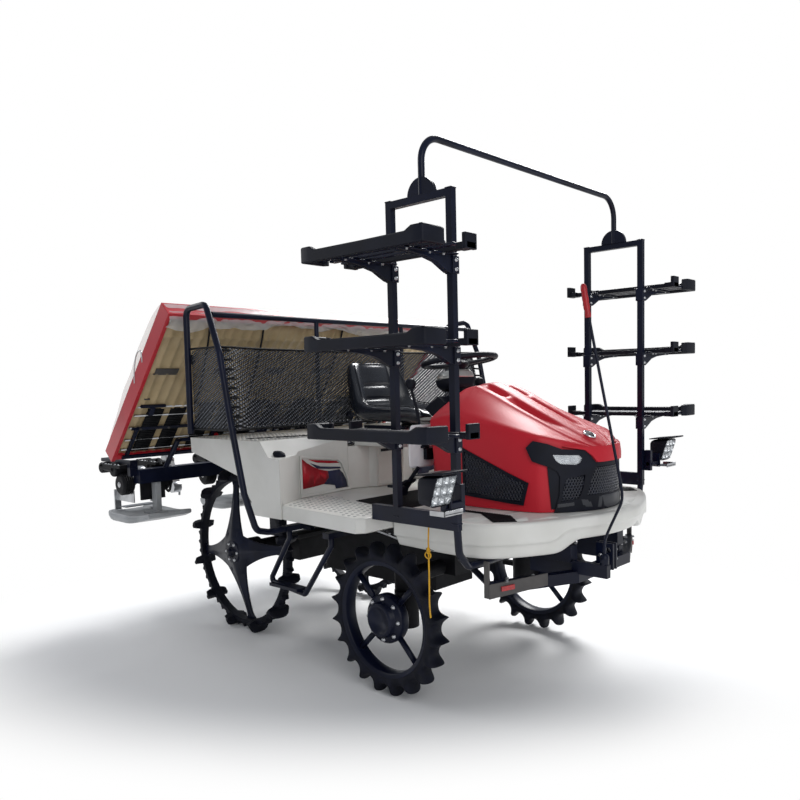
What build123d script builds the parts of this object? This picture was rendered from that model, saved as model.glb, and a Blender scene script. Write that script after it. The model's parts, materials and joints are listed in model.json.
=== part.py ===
"""Riding rice transplanter: six-row machine with seedling racks, in millimetres.

Frame: +X forward, +Y to the machine's left, +Z up, ground at Z = 0.
Everything is laid out from the rear axle (X = 0) and shifted once, at export,
so that the origin is the bottom centre of the whole machine.
"""
from build123d import *
import math
import os

os.makedirs("parts", exist_ok=True)

# ---------------------------------------------------------------- overall
X_FRONT = 2100.1           # foremost bend of the aim pole
X_REAR = -760.0            # rearmost guard bar of the planting unit
X_SHIFT = -(X_FRONT + X_REAR) / 2
WHEELBASE = 1220.0

# ---------------------------------------------------------------- wheels
FRONT_LUGS = 20
FRONT_TIP_R = 328.0
FRONT_AXLE_Z = FRONT_TIP_R * math.cos(math.pi / FRONT_LUGS)
FRONT_Y = 555.0            # wheel centre plane
KINGPIN_Y = 435.0
KINGPIN_R = 20.0
REAR_LUGS = 12
REAR_TIP_R = 445.0
REAR_AXLE_Z = REAR_TIP_R * math.cos(math.pi / REAR_LUGS)
REAR_Y = 425.0
REAR_DISH = 40.0          # how far the hub stands outside the ring
RUN_GAP = 6.0              # face clearance of a turning wheel to its axle
SHAFT_GAP = 0.05           # radial running clearance of a shaft

# ---------------------------------------------------------------- body
DECK_Z = 785.0             # floor deck, top face
DECK_EDGE = 62.0           # depth of the floor deck's rim
SKIRT_Z = 785.0            # front walkway, top face
WING_Z = 1060.0            # rear deck, top face
WING_HALF = 750.0
WALL = 6.0                 # body panel thickness
HOOD_AXIS = (1256.0, 1222.0)   # hood hinge, X and Z
SEAT_GAP = 0.2             # fixed pieces stand this far off what carries them
HOOD_NOSE = 1950.0
SKIRT_NOSE = HOOD_NOSE + 90.0

STEER_TILT = (-20.0, 0.0, 146.0)
STEER_HUB = (1191.2, 0.0, 1324.0)  # foot of the wheel's boss

# ---------------------------------------------------------------- racks
POST_X = (1449.0, 1739.0)
POST_Y = 708.0
POST_TOP = 1964.0
POST_LOW = 800.0
TUBE = 26.0
TRAY_X = (1300.0, 1885.0)  # one seedling tray long
SHELF_Z = (1131.0, 1440.0, 1750.0)
RAIL_IN_Y = 779.0
RAIL_OUT_Y = 1006.0
ARCH_X = 1600.0
ARCH_TOP = 2178.0

# ---------------------------------------------------------------- front end
POLE_Y = -202.0
TOW_EYE = (1978.0, 622.0)      # X and Z
TOW_EYE_R = 12.0

# ---------------------------------------------------------------- guard
HOOP_Y = 900.0
GUARD_X = 519.0
GUARD_TOP = 1655.0
GUARD_RAIL_Z = 1620.0
GUARD_POST_Y = 300.0
NET_LOW = 1115.0
NET_HIGH = 1478.0

# ---------------------------------------------------------------- lift
LINK_LEN = 550.0
LINK_UP_DEG = 45.0         # parked, raised
LOWER_PIN = (250.0, 560.0)     # X and Z of the chassis end of the lower link
UPPER_PIN = (250.0, 720.0)
LINK_Y = 140.0
UPPER_Y = 70.0
CYL_PIN = (250.0, 490.0)       # foot of the lift cylinder
CYL_EYE_ALONG = 0.35           # rod pin along the lower link
CYL_EYE_DROP = 36.0            # and below its line

# ---------------------------------------------------------------- planter
TABLE_HALF = 950.0
TABLE_TRAVEL = 140.0
RUNNER_AT = (120.0, -46.0)     # along the table and below its plane
RUNNER_R = 10.0
TABLE_TOP = (244.0, 1653.0)
TABLE_LOW = (-375.0, 970.0)
ROWS = 6
ROW_PITCH = (TABLE_HALF - 50.0) / 3
CASE_Y = (-600.0, 0.0, 600.0)
ROTOR_X = -612.0
ROTOR_Z = 812.0
ROTOR_R = 132.0


# ================================================================ helpers
def block(x0, x1, y0, y1, z0, z1):
    """Box between two corners."""
    centre = ((x0 + x1) / 2, (y0 + y1) / 2, (z0 + z1) / 2)
    return Pos(*centre) * Box(abs(x1 - x0), abs(y1 - y0), abs(z1 - z0))


def rod(start, end, radius):
    """Round bar from one point to another."""
    a, b = Vector(*start), Vector(*end)
    plane = Plane(origin=a, z_dir=(b - a))
    return Solid.make_cylinder(radius, (b - a).length, plane)


def sleeve(start, end, r_out, r_in):
    """Round tube between two points, bored through."""
    a, b = Vector(*start), Vector(*end)
    over = (b - a).normalized()
    return rod(start, end, r_out) - rod(tuple(a - over), tuple(b + over), r_in)


def bent_tube(points, bend, radius):
    """Bar swept along straight runs joined by arcs."""
    path = FilletPolyline(*points, radius=bend)
    start = Plane(origin=path @ 0, z_dir=path % 0)
    return sweep(start * Circle(radius), path=path)


def side_plate(points, y0, y1):
    """Polygon in X and Z, extruded from y0 to y1."""
    outline = make_face(Polyline(*[(x, y0, z) for x, z in points], close=True))
    return extrude(outline, amount=y1 - y0, dir=(0, 1, 0))


def plan_plate(points, z0, z1):
    """Polygon in X and Y, extruded from z0 to z1."""
    outline = make_face(Polyline(*[(x, y, z0) for x, y in points], close=True))
    return extrude(outline, amount=z1 - z0, dir=(0, 0, 1))


def cross_plate(points, x0, x1):
    """Polygon in Y and Z, extruded from x0 to x1."""
    outline = make_face(Polyline(*[(x0, y, z) for y, z in points], close=True))
    return extrude(outline, amount=x1 - x0, dir=(1, 0, 0))


def section(x, points):
    """Closed polygon of Y and Z at one X, for a loft."""
    return make_face(Polyline(*[(x, y, z) for y, z in points], close=True))


def half(points):
    """Complete a half outline (Y positive) by its mirror image."""
    return points + [(a, -b) for a, b in reversed(points) if b != 0]


def mirrored(shape):
    return shape.mirror(Plane.XZ)


def both(shape):
    """A piece and its mirror image on the other side."""
    return Compound(solids_of(shape) + solids_of(mirrored(shape)))


def solids_of(shape):
    return list(shape.solids())


def polar(cx, cz, radius, degrees):
    a = math.radians(degrees)
    return (cx + radius * math.cos(a), cz + radius * math.sin(a))


NODES = {}


def put(name, shape):
    """Keep one node, as a single solid or a group of separate ones."""
    parts = solids_of(shape)
    NODES[name] = parts[0] if len(parts) == 1 else Compound(parts)


# ================================================================ wheels
def wheel_ring(cx, y, cz, r_in, r_out, width, sides):
    """Flat-sided ring about a Y axis."""
    outer = RegularPolygon(r_out, sides)
    ring = extrude(Plane.XZ * (outer - Circle(r_in)), amount=width, dir=(0, 1, 0))
    return Pos(cx, y - width / 2, cz) * ring


def front_tyre(y):
    """Rubber ring with pointed lugs swept across its full width."""
    cz = FRONT_AXLE_Z
    tyre = wheel_ring(WHEELBASE, y, cz, 243.0, 287.0, 74.0, 40)
    lug_profile = [(272, -30), (272, 34), (300, 22), (FRONT_TIP_R, 0), (304, -14)]
    lug = side_plate(lug_profile, -48.0, 48.0)
    for i in range(FRONT_LUGS):
        turn = -90 + 360 / FRONT_LUGS * (i + 0.5)
        tyre += Pos(WHEELBASE, y, cz) * Rot(0, -turn, 0) * lug
    return tyre


def front_rim(y, out):
    """Rim, four spokes and a flanged hub with a cap facing outwards."""
    cz = FRONT_AXLE_Z
    rim = wheel_ring(WHEELBASE, y, cz, 230.0, 243.0, 58.0, 40)
    hub = rod((WHEELBASE, y - 26, cz), (WHEELBASE, y + 26, cz), 104.0)
    for i in range(4):
        a = polar(0, 0, 90.0, 45 + 90 * i)
        b = polar(0, 0, 236.0, 45 + 90 * i)
        bar = rod((WHEELBASE + a[0], y, cz + a[1]), (WHEELBASE + b[0], y, cz + b[1]), 11.0)
        hub += bar
    cap = rod((WHEELBASE, y, cz), (WHEELBASE, y + out * 52, cz), 70.0)
    bore = rod((WHEELBASE, y - out * 60, cz), (WHEELBASE, y + out * 18, cz), 20.0 + SHAFT_GAP)
    return rim + hub + cap - bore


def rear_ring(y):
    """Slim ring with twelve broad paddles and small teeth between them."""
    cz = REAR_AXLE_Z
    ring = wheel_ring(0, y, cz, 372.0, 402.0, 46.0, 48)
    paddle = side_plate([(376, -26), (376, 30), (420, 18), (REAR_TIP_R, 0), (424, -18)], -62.0, 62.0)
    tooth = side_plate([(392, -16), (392, 16), (424, 0)], -23.0, 23.0)
    for i in range(REAR_LUGS):
        turn = -90 + 360 / REAR_LUGS * (i + 0.5)
        ring += Pos(0, y, cz) * Rot(0, -turn, 0) * paddle
        for step in (-7.5, 0.0, 7.5):
            mid = turn + 180 / REAR_LUGS + step
            ring += Pos(0, y, cz) * Rot(0, -mid, 0) * tooth
    return ring


def rear_disc(y, out):
    """Dished four-armed star with a hub on the outer side."""
    dish = REAR_DISH
    cone = Polyline((48, dish), (371.5, -6), (371.5, 8), (48, dish + 14), close=True)
    star = revolve(make_face(Plane.XY * cone), axis=Axis.Y)
    for i in range(4):
        cx, cz = polar(0, 0, 372.0, 45 + 90 * i + 7)
        star -= rod((cx, -200, cz), (cx, 300, cz), 205.0)
    star += rod((0, dish - 40, 0), (0, dish + 30, 0), 62.0)
    star -= rod((0, dish - 60, 0), (0, dish + 6, 0), 22.0 + SHAFT_GAP)
    if out < 0:
        star = mirrored(star)
    return Pos(0, y, REAR_AXLE_Z) * star


def build_wheels():
    for side, name in ((-1, "right"), (1, "left")):
        put(f"front_tyre_{name}", front_tyre(side * FRONT_Y))
        put(f"front_rim_{name}", front_rim(side * FRONT_Y, side))
        put(f"rear_wheel_ring_{name}", rear_ring(side * REAR_Y))
        put(f"rear_wheel_disc_{name}", rear_disc(side * REAR_Y, side))


# ================================================================ running gear
def knuckle(side):
    """Steered gear case: kingpin barrel, stub axle and steering arm."""
    cz = FRONT_AXLE_Z
    y = side * KINGPIN_Y
    case = rod((WHEELBASE, y, cz - 62), (WHEELBASE, y, cz + 96), 52.0)
    case += rod((WHEELBASE, y, cz), (WHEELBASE, side * (FRONT_Y - 26 - RUN_GAP), cz), 44.0)
    case += rod((WHEELBASE, y, cz), (WHEELBASE, side * (FRONT_Y + 12), cz), 20.0)
    case += block(WHEELBASE - 120, WHEELBASE, y - 14, y + 14, cz + 20, cz + 44)
    return case - rod((WHEELBASE, y, cz + 46), (WHEELBASE, y, cz + 110), KINGPIN_R + SHAFT_GAP)


def front_axle():
    """Beam with a centre case and kingpin heads above the steered cases."""
    top = FRONT_AXLE_Z + 96 + RUN_GAP
    beam = rod((WHEELBASE, -KINGPIN_Y, top + 48), (WHEELBASE, KINGPIN_Y, top + 48), 36.0)
    beam += block(WHEELBASE - 90, WHEELBASE + 90, -215, 215, top + 20, 590 - SEAT_GAP)
    for side in (-1, 1):
        y = side * KINGPIN_Y
        beam += rod((WHEELBASE, y, top), (WHEELBASE, y, top + 96), 50.0)
        beam += rod((WHEELBASE, y, top - 52), (WHEELBASE, y, top + 20), KINGPIN_R)
    return beam


def rear_axle():
    """Rear drive case: centre housing and a straight tube to each wheel."""
    cz = REAR_AXLE_Z
    inner = REAR_Y + REAR_DISH - 40 - RUN_GAP
    axle = block(-90, 130, -150, 150, cz - 92, 455)
    axle += rod((0, -inner, cz), (0, inner, cz), 40.0)
    axle += rod((0, -REAR_Y - REAR_DISH, cz), (0, REAR_Y + REAR_DISH, cz), 22.0)
    for side in (-1, 1):
        axle += rod((0, side * 330, cz), (0, side * inner, cz), 58.0)
    return axle


def chassis_frame():
    """Two rails stepping over the front axle, tied by cross members."""
    frame = None
    for side in (-1, 1):
        y0, y1 = sorted((side * 165, side * 215))
        rail = block(-60, 1900, y0, y1, 590, 655)
        rail += block(-45, 45, y0, y1, REAR_AXLE_Z + 40 + SEAT_GAP, 655)
        frame = rail if frame is None else frame + rail
    for x in (330, 760, 1650):
        frame += block(x, x + 60, -215, 215, 592, 650)
    for x, reach in ((700, 690), (980, 690), (1480, 590)):
        frame += block(x, x + 40, -reach, reach, 655, 680)
    cheek_x0, cheek_x1 = LOWER_PIN[0] - 32, LOWER_PIN[0] + 32
    for side in (-1, 1):
        y0, y1 = sorted((side * 165, side * 190))
        frame += block(cheek_x0, cheek_x1, y0, y1, LOWER_PIN[1] - 30, UPPER_PIN[1] + 30)
        frame += rod((LOWER_PIN[0], side * (LINK_Y - 20), LOWER_PIN[1]), (LOWER_PIN[0], side * 180, LOWER_PIN[1]), 12.0)
        frame += rod((UPPER_PIN[0], side * (UPPER_Y - 18), UPPER_PIN[1]), (UPPER_PIN[0], side * 180, UPPER_PIN[1]), 12.0)
    cx, cz = CYL_PIN
    for side in (-1, 1):
        y0, y1 = sorted((side * 34, side * 46))
        frame += block(cx - 22, 335, y0, y1, cz - 22, cz + 22)
        frame += block(330, 345, y0, y1, cz - 22, 600)
    frame += rod((cx, -46, cz), (cx, 46, cz), 10.0)
    return frame


def build_running_gear():
    for side, name in ((-1, "right"), (1, "left")):
        put(f"knuckle_{name}", knuckle(side))
    put("front_axle", front_axle())
    put("rear_axle", rear_axle())
    put("chassis_frame", chassis_frame())
    case = block(345 + SEAT_GAP, 1125, -140, 140, 330, 560) + block(1040, 1120, -110, 110, 420, 700)
    put("transmission_case", case)
    put("engine_block", block(1330, 1720, -150, 150, 680 + SEAT_GAP, 930))


# ================================================================ decks
def floor_deck():
    """Floor with a rim all round, hollow below, widest beside the steps."""
    outline = half([(500, 0), (500, 560), (560, 700), (779, 730), (781, 745), (1283, 778), (1310, 748), (1310, 0)])
    top = plan_plate(outline, DECK_Z - DECK_EDGE, DECK_Z)
    inner = half([(506, 0), (506, 556), (566, 692), (784, 722), (788, 737), (1279, 769), (1304, 744), (1304, 0)])
    hollow = plan_plate(inner, DECK_Z - DECK_EDGE - 1, DECK_Z - WALL)
    return top - hollow


def skirt_outline(inset, nose):
    """Half plan of the walkway, X and Y."""
    rows = [(1318, 600), (1560, 620), (1760, 608), (1850, 520), (1935, 370), (1998, 210), (nose, 80)]
    body = [(x - inset * 0.6 if x > 1700 else x, y - inset) for x, y in rows]
    return [(body[0][0], 0)] + body + [(body[-1][0], 0)]


def plan_loft(z_top, top, z_low, low):
    return loft([Pos(0, 0, z_top) * make_face(Polyline(*half(top), close=True)),
                 Pos(0, 0, z_low) * make_face(Polyline(*half(low), close=True))], ruled=True)


def front_skirt():
    """Curved walkway round the hood, with a deep tapering face."""
    body = plan_loft(SKIRT_Z, skirt_outline(0, SKIRT_NOSE), 645, skirt_outline(34, SKIRT_NOSE))
    inner = plan_loft(SKIRT_Z - WALL, skirt_outline(8, SKIRT_NOSE), 644, skirt_outline(42, SKIRT_NOSE))
    step = block(1310, 1560, -700, 700, 600, 680 + SEAT_GAP)
    return body - inner - step - block(1310, 1740, -180, 180, 600, SKIRT_Z + 10)


def rear_deck():
    """White body over the rear wheels: side wings with slanting fronts, centre tray."""
    foot = DECK_Z + SEAT_GAP
    low = DECK_Z - DECK_EDGE
    wing = side_plate([(70, 1060), (640, 1060), (700, 990), (800, 985), (800, foot), (560, foot),
                       (520, 830), (520, 880), (75, 990)], 240, WING_HALF)
    wing &= plan_plate([(60, 230), (60, 760), (784, 760), (689, 576), (652, 230)], low, 1070)
    inside = side_plate([(76, 1054), (636, 1054), (696, 984), (794, 979), (794, foot - 20), (566, foot - 20),
                         (526, 828), (526, 886), (70, 986)], 246, WING_HALF - WALL)
    inside &= plan_plate([(50, 230), (50, 760), (777, 760), (682, 576), (645, 230)], low, 1070)
    wing = wing - inside + block(562, 778, WING_HALF - 12, WING_HALF, low, foot + 20)
    centre = block(70, 640, -246, 246, 1040, 1060)
    return wing + mirrored(wing) + centre


def seat_pedestal():
    """Column under the seat with a base that reaches forward of it."""
    foot = DECK_Z + SEAT_GAP
    low = plan_plate(half([(560, 0), (560, 234), (646, 234), (679, 120), (712, 100), (712, 0)]), foot, 1000)
    low += plan_plate(half([(646, 0), (646, 190), (960, 170), (960, 0)]), 1000, 1085)
    hollow = plan_plate(half([(566, 0), (566, 228), (642, 228), (674, 114), (706, 95), (706, 0)]), foot - 10, 1000)
    hollow += plan_plate(half([(652, 0), (652, 184), (954, 164), (954, 0)]), 1006, 1079)
    return low - hollow


def build_decks():
    put("floor_deck", floor_deck())
    put("front_skirt", front_skirt())
    put("rear_deck", rear_deck())
    put("seat_pedestal", seat_pedestal())


# ================================================================ seat and controls
def build_seat():
    rail_top = 1085 + SEAT_GAP + 14
    rails = block(680, 960, -150, -120, 1085 + SEAT_GAP, rail_top) + block(680, 960, 120, 150, 1085 + SEAT_GAP, rail_top)
    put("seat_rails", rails)
    low = rail_top + SEAT_GAP
    cushion = side_plate([(650, low), (650, 1150), (700, 1168), (1060, 1192), (1107, 1176),
                          (1107, 1140), (1060, low)], -212, 212)
    put("seat_cushion", cushion)
    back = loft([Pos(0, 0, 1166) * Pos(659, 0, 0) * Rectangle(92, 400),
                 Pos(0, 0, 1300) * Pos(622, 0, 0) * Rectangle(76, 390),
                 Pos(0, 0, 1412) * Pos(598, 0, 0) * Rectangle(40, 320)], ruled=True)
    back -= side_plate([(640, low - 10), (640, 1150), (700, 1168 + SEAT_GAP), (760, 1172 + SEAT_GAP), (760, low - 10)], -300, 300)
    put("seat_back", back)


def build_controls():
    """Cowl behind the hood, column, wheel, levers and pedals."""
    foot = DECK_Z + SEAT_GAP
    cowl = loft([section(1180, [(-190, foot), (190, foot), (205, 1130), (-205, 1130)]),
                 section(1236, [(-230, foot), (230, foot), (250, 1160), (-250, 1160)])], ruled=True)
    hx, hz = HOOD_AXIS
    for side in (-1, 1):
        y0, y1 = sorted((side * 114, side * 124))
        cowl += side_plate([(1226, 1120), (hx + 6, 1150), (hx + 9, hz - 3), (hx - 7, hz), (1234, 1172)], y0, y1)
        y0, y1 = sorted((side * 98, side * 124))
        cowl += rod((hx, y0, hz), (hx, y1, hz), 5.0)
    put("dash_cowl", cowl)
    dash = side_plate([(1180, 1131.4), (1232, 1159.8), (1232, 1212), (1190, 1240), (1110, 1185)], -170, 170)
    dash -= rod(tuple(Vector(*STEER_HUB) - Vector(*STEER_TILT).normalized() * (125 + SEAT_GAP)),
                tuple(Vector(*STEER_HUB)), 20.0 + SEAT_GAP)
    put("dash_panel", dash)
    hub_point = Vector(*STEER_HUB)
    lean = Vector(*STEER_TILT).normalized()
    column = rod(tuple(hub_point - lean * 125), tuple(hub_point - lean * 0.3), 20.0)
    put("steering_column", column)
    hub = STEER_HUB
    tilt = Vector(*STEER_TILT).normalized()
    plane = Plane(origin=Vector(*hub) + tilt * 78, x_dir=(0, 1, 0), z_dir=tilt)
    rim = Solid.make_torus(168, 13, plane)
    wheel = rim + rod(hub, tuple(Vector(*hub) + tilt * 66), 34.0)
    for i in range(3):
        a = math.radians(90 + 120 * i)
        end = plane.from_local_coords(Vector(160 * math.cos(a), 160 * math.sin(a), 0))
        wheel += rod(tuple(Vector(*hub) + tilt * 52), (end.X, end.Y, end.Z), 9.0)
    put("steering_wheel", wheel)
    lever_low = bent_tube([(1150, -230, 1000), (1130, -245, 1180), (1100, -250, 1290)], 40, 7)
    lever_low += Pos(1100, -250, 1300) * Sphere(22)
    lever_two = bent_tube([(1150, 230, 1000), (1130, 245, 1180), (1100, 250, 1290)], 40, 7)
    lever_two += Pos(1100, 250, 1300) * Sphere(22)
    lever_low += block(1130, 1180 - SEAT_GAP, -240, -180, 960, 1010)
    lever_two += block(1130, 1180 - SEAT_GAP, 180, 240, 960, 1010)
    put("hand_levers", Compound(solids_of(lever_low) + solids_of(lever_two)))
    pedal = side_plate([(1160, DECK_Z + SEAT_GAP), (1172, DECK_Z + SEAT_GAP), (1130, 850), (1060, 815), (1065, 805), (1125, 838)],
                       -150, -70)
    put("foot_pedal", pedal)


# ================================================================ hood
def hood_sections(inset):
    """Half sections of the hood: X back from the nose, peak Z, crease (Y, Z), shoulder (Y, Z), foot Y."""
    table = [
        (-698, 1266, 121, 1243, 286, 1151, 300),
        (-570, 1304, 150, 1288, 300, 1178, 305),
        (-390, 1218, 150, 1206, 300, 1140, 305),
        (-222, 1140, 148, 1130, 292, 1100, 300),
        (-150, 1104, 140, 1096, 270, 1082, 278),
        (-90, 1074, 124, 1067, 214, 1062, 226),
        (-38, 1046, 84, 1040, 128, 1036, 140),
        (0, 1022, 34, 1018, 52, 1014, 60),
    ]
    rows = []
    for x, peak, cy, cz, sy, sz, fy in table:
        rows.append((HOOD_NOSE + x, [(0, peak - inset), (cy - inset * 0.5, cz - inset), (sy - inset, sz - inset),
                         (fy - inset, 790.0 if inset == 0 else 780.0)]))
    return rows


def lofted(rows):
    faces = []
    for x, pts in rows:
        full = pts + [(-y, z) for y, z in reversed(pts) if y != 0]
        faces.append(section(x, full))
    return loft(faces, ruled=True)


def build_hood():
    skin = lofted(hood_sections(0.0))
    inner_rows = hood_sections(10.0)
    inner_rows[0] = (inner_rows[0][0] - 14, inner_rows[0][1])
    inner_rows[-1] = (HOOD_NOSE - 10, inner_rows[-1][1])
    shell = skin - lofted(inner_rows)
    mask_rows = [(-200, 1075), (-150, 1085), (40, 1000), (40, 780), (-135, 780), (-80, 930), (-200, 1030)]
    mask_zone = side_plate([(HOOD_NOSE + x, z) for x, z in mask_rows], -400, 400)
    put("front_mask", (skin & mask_zone) - lofted(inner_rows))
    shell = shell - mask_zone
    grille_rows = [(-501, 1024), (-506, 835), (-212, 823), (-187, 904)]
    grille_side = side_plate([(HOOD_NOSE + x, z) for x, z in grille_rows], 280, 330)
    grilles = grille_side + mirrored(grille_side)
    shell = shell - grilles
    shell = max(shell.solids(), key=lambda s: s.volume)
    hx, hz = HOOD_AXIS
    for y in (-105, 105):
        shell += side_plate([(hx - 8, hz - 10), (hx + 12, hz - 10), (hx + 16, hz + 20), (hx - 4, hz + 17)], y - 5, y + 5)
        shell -= rod((hx, y - 9, hz), (hx, y + 9, hz), 5.0 + SHAFT_GAP)
    put("hood_shell", shell)
    side_mesh = (lofted(hood_sections(3.0)) & grille_side)
    side_mesh = side_mesh - lofted(hood_sections(9.0))
    put("side_grilles", both(side_mesh))


# ================================================================ racks
def rack_frames():
    """Two posts per side with a top rail, middle rungs and the lower beam."""
    parts = []
    for side in (-1, 1):
        y = side * POST_Y
        h = TUBE / 2
        frame = block(POST_X[0] - h, POST_X[0] + h, y - h, y + h, POST_LOW, POST_TOP)
        frame += block(POST_X[1] - h, POST_X[1] + h, y - h, y + h, POST_LOW - 20, POST_TOP)
        frame += block(POST_X[0] - h, POST_X[1] + h, y - h, y + h, POST_TOP - TUBE, POST_TOP)
        frame += block(1320, POST_X[1] + h, y - h, y + h, 778, 838)
        frame += bent_tube([(1739, y, 800), (1735, side * 694, 690), (1700, side * 600, 622),
                            (1700, side * (215 + SEAT_GAP), 622)], 40, 14)
        parts += solids_of(frame)
    return Compound(parts)


def rack_shelves():
    """Three tray shelves per side: inner and outer rails, slats, gussets."""
    parts = []
    x0, x1 = TRAY_X
    for side in (-1, 1):
        for z in SHELF_Z:
            yi, yo = side * RAIL_IN_Y, side * RAIL_OUT_Y
            a, b = sorted((side * (POST_Y + TUBE / 2 + 0.5), yo))
            shelf = block(x0, x1, yi - 12, yi + 12, z - 14, z + 14)
            shelf += block(x0, x1, yo - 14, yo + 14, z - 22, z + 22)
            shelf += block(x0, x0 + 46, yo - 14, yo + 14, z - 22, z + 42)
            shelf += block(x1 - 46, x1, yo - 14, yo + 14, z - 22, z + 42)
            for x in POST_X:
                shelf += side_bracket(x, side, z)
            for ys in (855.0, 930.0):
                shelf += block(x0 + 60, x1 - 60, side * ys - 9, side * ys + 9, z - 12, z + 2)
            parts += solids_of(shelf)
    return Compound(parts)


def side_bracket(x, side, z):
    """Cantilever gusset from a post out to the outer rail."""
    yi = side * (POST_Y + TUBE / 2 + SEAT_GAP)
    yo = side * RAIL_OUT_Y
    pts = [(yi, z - 62), (yi, z - 12), (yo, z - 12), (yo, z - 22)]
    if side < 0:
        pts = pts[::-1]
    return cross_plate(pts, x - 12, x + 12)


def rack_arch():
    y = 700.0
    z0 = POST_TOP + SEAT_GAP
    arch = bent_tube([(ARCH_X, -y, z0), (ARCH_X, -y, ARCH_TOP), (ARCH_X, y, ARCH_TOP), (ARCH_X, y, z0)], 95, 12.5)
    for side in (-1, 1):
        disc = rod((ARCH_X, side * y - 8, z0), (ARCH_X, side * y + 8, z0), 60.0)
        arch += disc & block(ARCH_X - 70, ARCH_X + 70, side * y - 20, side * y + 20, z0, z0 + 80)
    return arch


def build_racks():
    put("rack_frames", rack_frames())
    put("rack_shelves", rack_shelves())
    put("rack_arch", rack_arch())
    lamp = block(1740, 1830, -915, -803, 888, 1000)
    visor = block(1742, 1858, -922, -796, 1000, 1008)
    arm = block(1752 + SEAT_GAP, 1785, -736, -700, 850, 950) + block(1752 + SEAT_GAP, 1785, -805, -730, 875, 890)
    put("work_lamps", both(lamp + visor + arm))


# ================================================================ guard
def build_guard():
    hoops = []
    for side in (-1, 1):
        y = side * HOOP_Y
        hoop = bent_tube([(330, y, NET_LOW - 20), (338, y, GUARD_TOP), (500, y, GUARD_TOP + 10), (590, y, 1450),
                          (650, y, 1160), (722, side * 895, 850), (748, side * 860, 690),
                          (722, side * 780, 667.5), (722, side * (690 + SEAT_GAP), 667.5)], 40, 14)
        hoops += solids_of(hoop)
    put("guard_hoops", Compound(hoops))
    x, z = GUARD_X, GUARD_RAIL_Z
    reach = HOOP_Y - 14 - SEAT_GAP
    rear = rod((x, -reach, z), (x, reach, z), 12.5)
    for y in (-GUARD_POST_Y, GUARD_POST_Y):
        rear += rod((x, y, WING_Z + SEAT_GAP), (x, y, z), 11.0)
    rear += rod((x, -HOOP_Y + 60, NET_LOW), (x, HOOP_Y - 60, NET_LOW), 9.0)
    put("guard_rear_frame", rear)
    net = block(x + 11.3, x + 17, -HOOP_Y + 40, HOOP_Y - 40, NET_LOW, NET_HIGH)
    wing = side_plate([(300, NET_HIGH + 15), (560, NET_HIGH), (645, NET_LOW), (300, NET_LOW)],
                      HOOP_Y - 20, HOOP_Y - 14 - SEAT_GAP)
    put("guard_net", Compound(solids_of(net) + solids_of(wing) + solids_of(mirrored(wing))))


# ================================================================ front end
def build_front():
    y = POLE_Y
    pole = bent_tube([(2040, y, 638 + SEAT_GAP), (2040, y, 700), (2094, y, 862), (1954, y, 1664)], 30, 7.0)
    put("aim_pole", pole + rod((1977.0, y, 1532), (1954.7, y, 1660), 10.0))
    bar = plan_plate([(1740, 545), (1895, 200), (1895, -200), (1740, -545), (1765, -558), (1935, -210),
                      (1935, 210), (1765, 558)], 515, 560)
    for side in (-1, 1):
        y0, y1 = sorted((side * 170, side * 200))
        bar += block(1700, 1905, y0, y1, 530, 590 - SEAT_GAP)
        bar += rod((1750, side * 530, 540), (1345, side * 240, 560), 13.0)
    bar += block(1925, 2000, -62, -50, 545, 650) + block(1925, 2000, -38, -26, 545, 650)
    bar += block(1905, 2058, POLE_Y - 14, POLE_Y + 14, 550, 600)
    bar += rod((2040, POLE_Y, 599), (2040, POLE_Y, 638), 12.0)
    bar -= rod((TOW_EYE[0], -80, TOW_EYE[1]), (TOW_EYE[0], -10, TOW_EYE[1]), TOW_EYE_R)
    put("front_bar", bar)
    top = 655 - SEAT_GAP
    step = bent_tube([(1000, -660, top), (1000, -660, top - 36), (812, -660, 378), (560, -660, 402),
                      (715, -660, top - 36), (715, -660, top)], 18, 12)
    step += block(590, 790, -690, -630, 388, 402)
    put("foot_steps", both(step))
    cord = [(1606, -710, 777.4), (1605, -714, 735), (1608, -716, 690), (1605, -713, 640), (1608, -716, 585),
            (1605, -714, 530), (1607, -717, 480), (1610, -715, 440)]
    put("tie_cord", hanging_cord(cord, 3.0))


def hanging_cord(points, radius):
    """Limp cord: straight runs joined by the largest arcs they allow."""
    radii = []
    for a, b, c in zip(points, points[1:], points[2:]):
        first, second = Vector(*b) - Vector(*a), Vector(*c) - Vector(*b)
        turn = math.radians(first.get_angle(second))
        radii.append(0.45 * min(first.length, second.length) / math.tan(turn / 2))
    path = FilletPolyline(*points, radius=radii)
    print("cord radii", [round(r) for r in radii], "length", round(path.length))
    return sweep(Plane(origin=path @ 0, z_dir=path % 0) * Circle(radius), path=path)


# ================================================================ planting unit
def lift_vector():
    a = math.radians(LINK_UP_DEG)
    return (-LINK_LEN * math.cos(a), LINK_LEN * math.sin(a))


def rod_pin():
    """X and Z of the pin that the lift cylinder pushes."""
    a = math.radians(LINK_UP_DEG)
    r = CYL_EYE_ALONG * LINK_LEN
    x = LOWER_PIN[0] - r * math.cos(a) - CYL_EYE_DROP * math.sin(a)
    return (x, LOWER_PIN[1] + r * math.sin(a) - CYL_EYE_DROP * math.cos(a))


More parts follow.
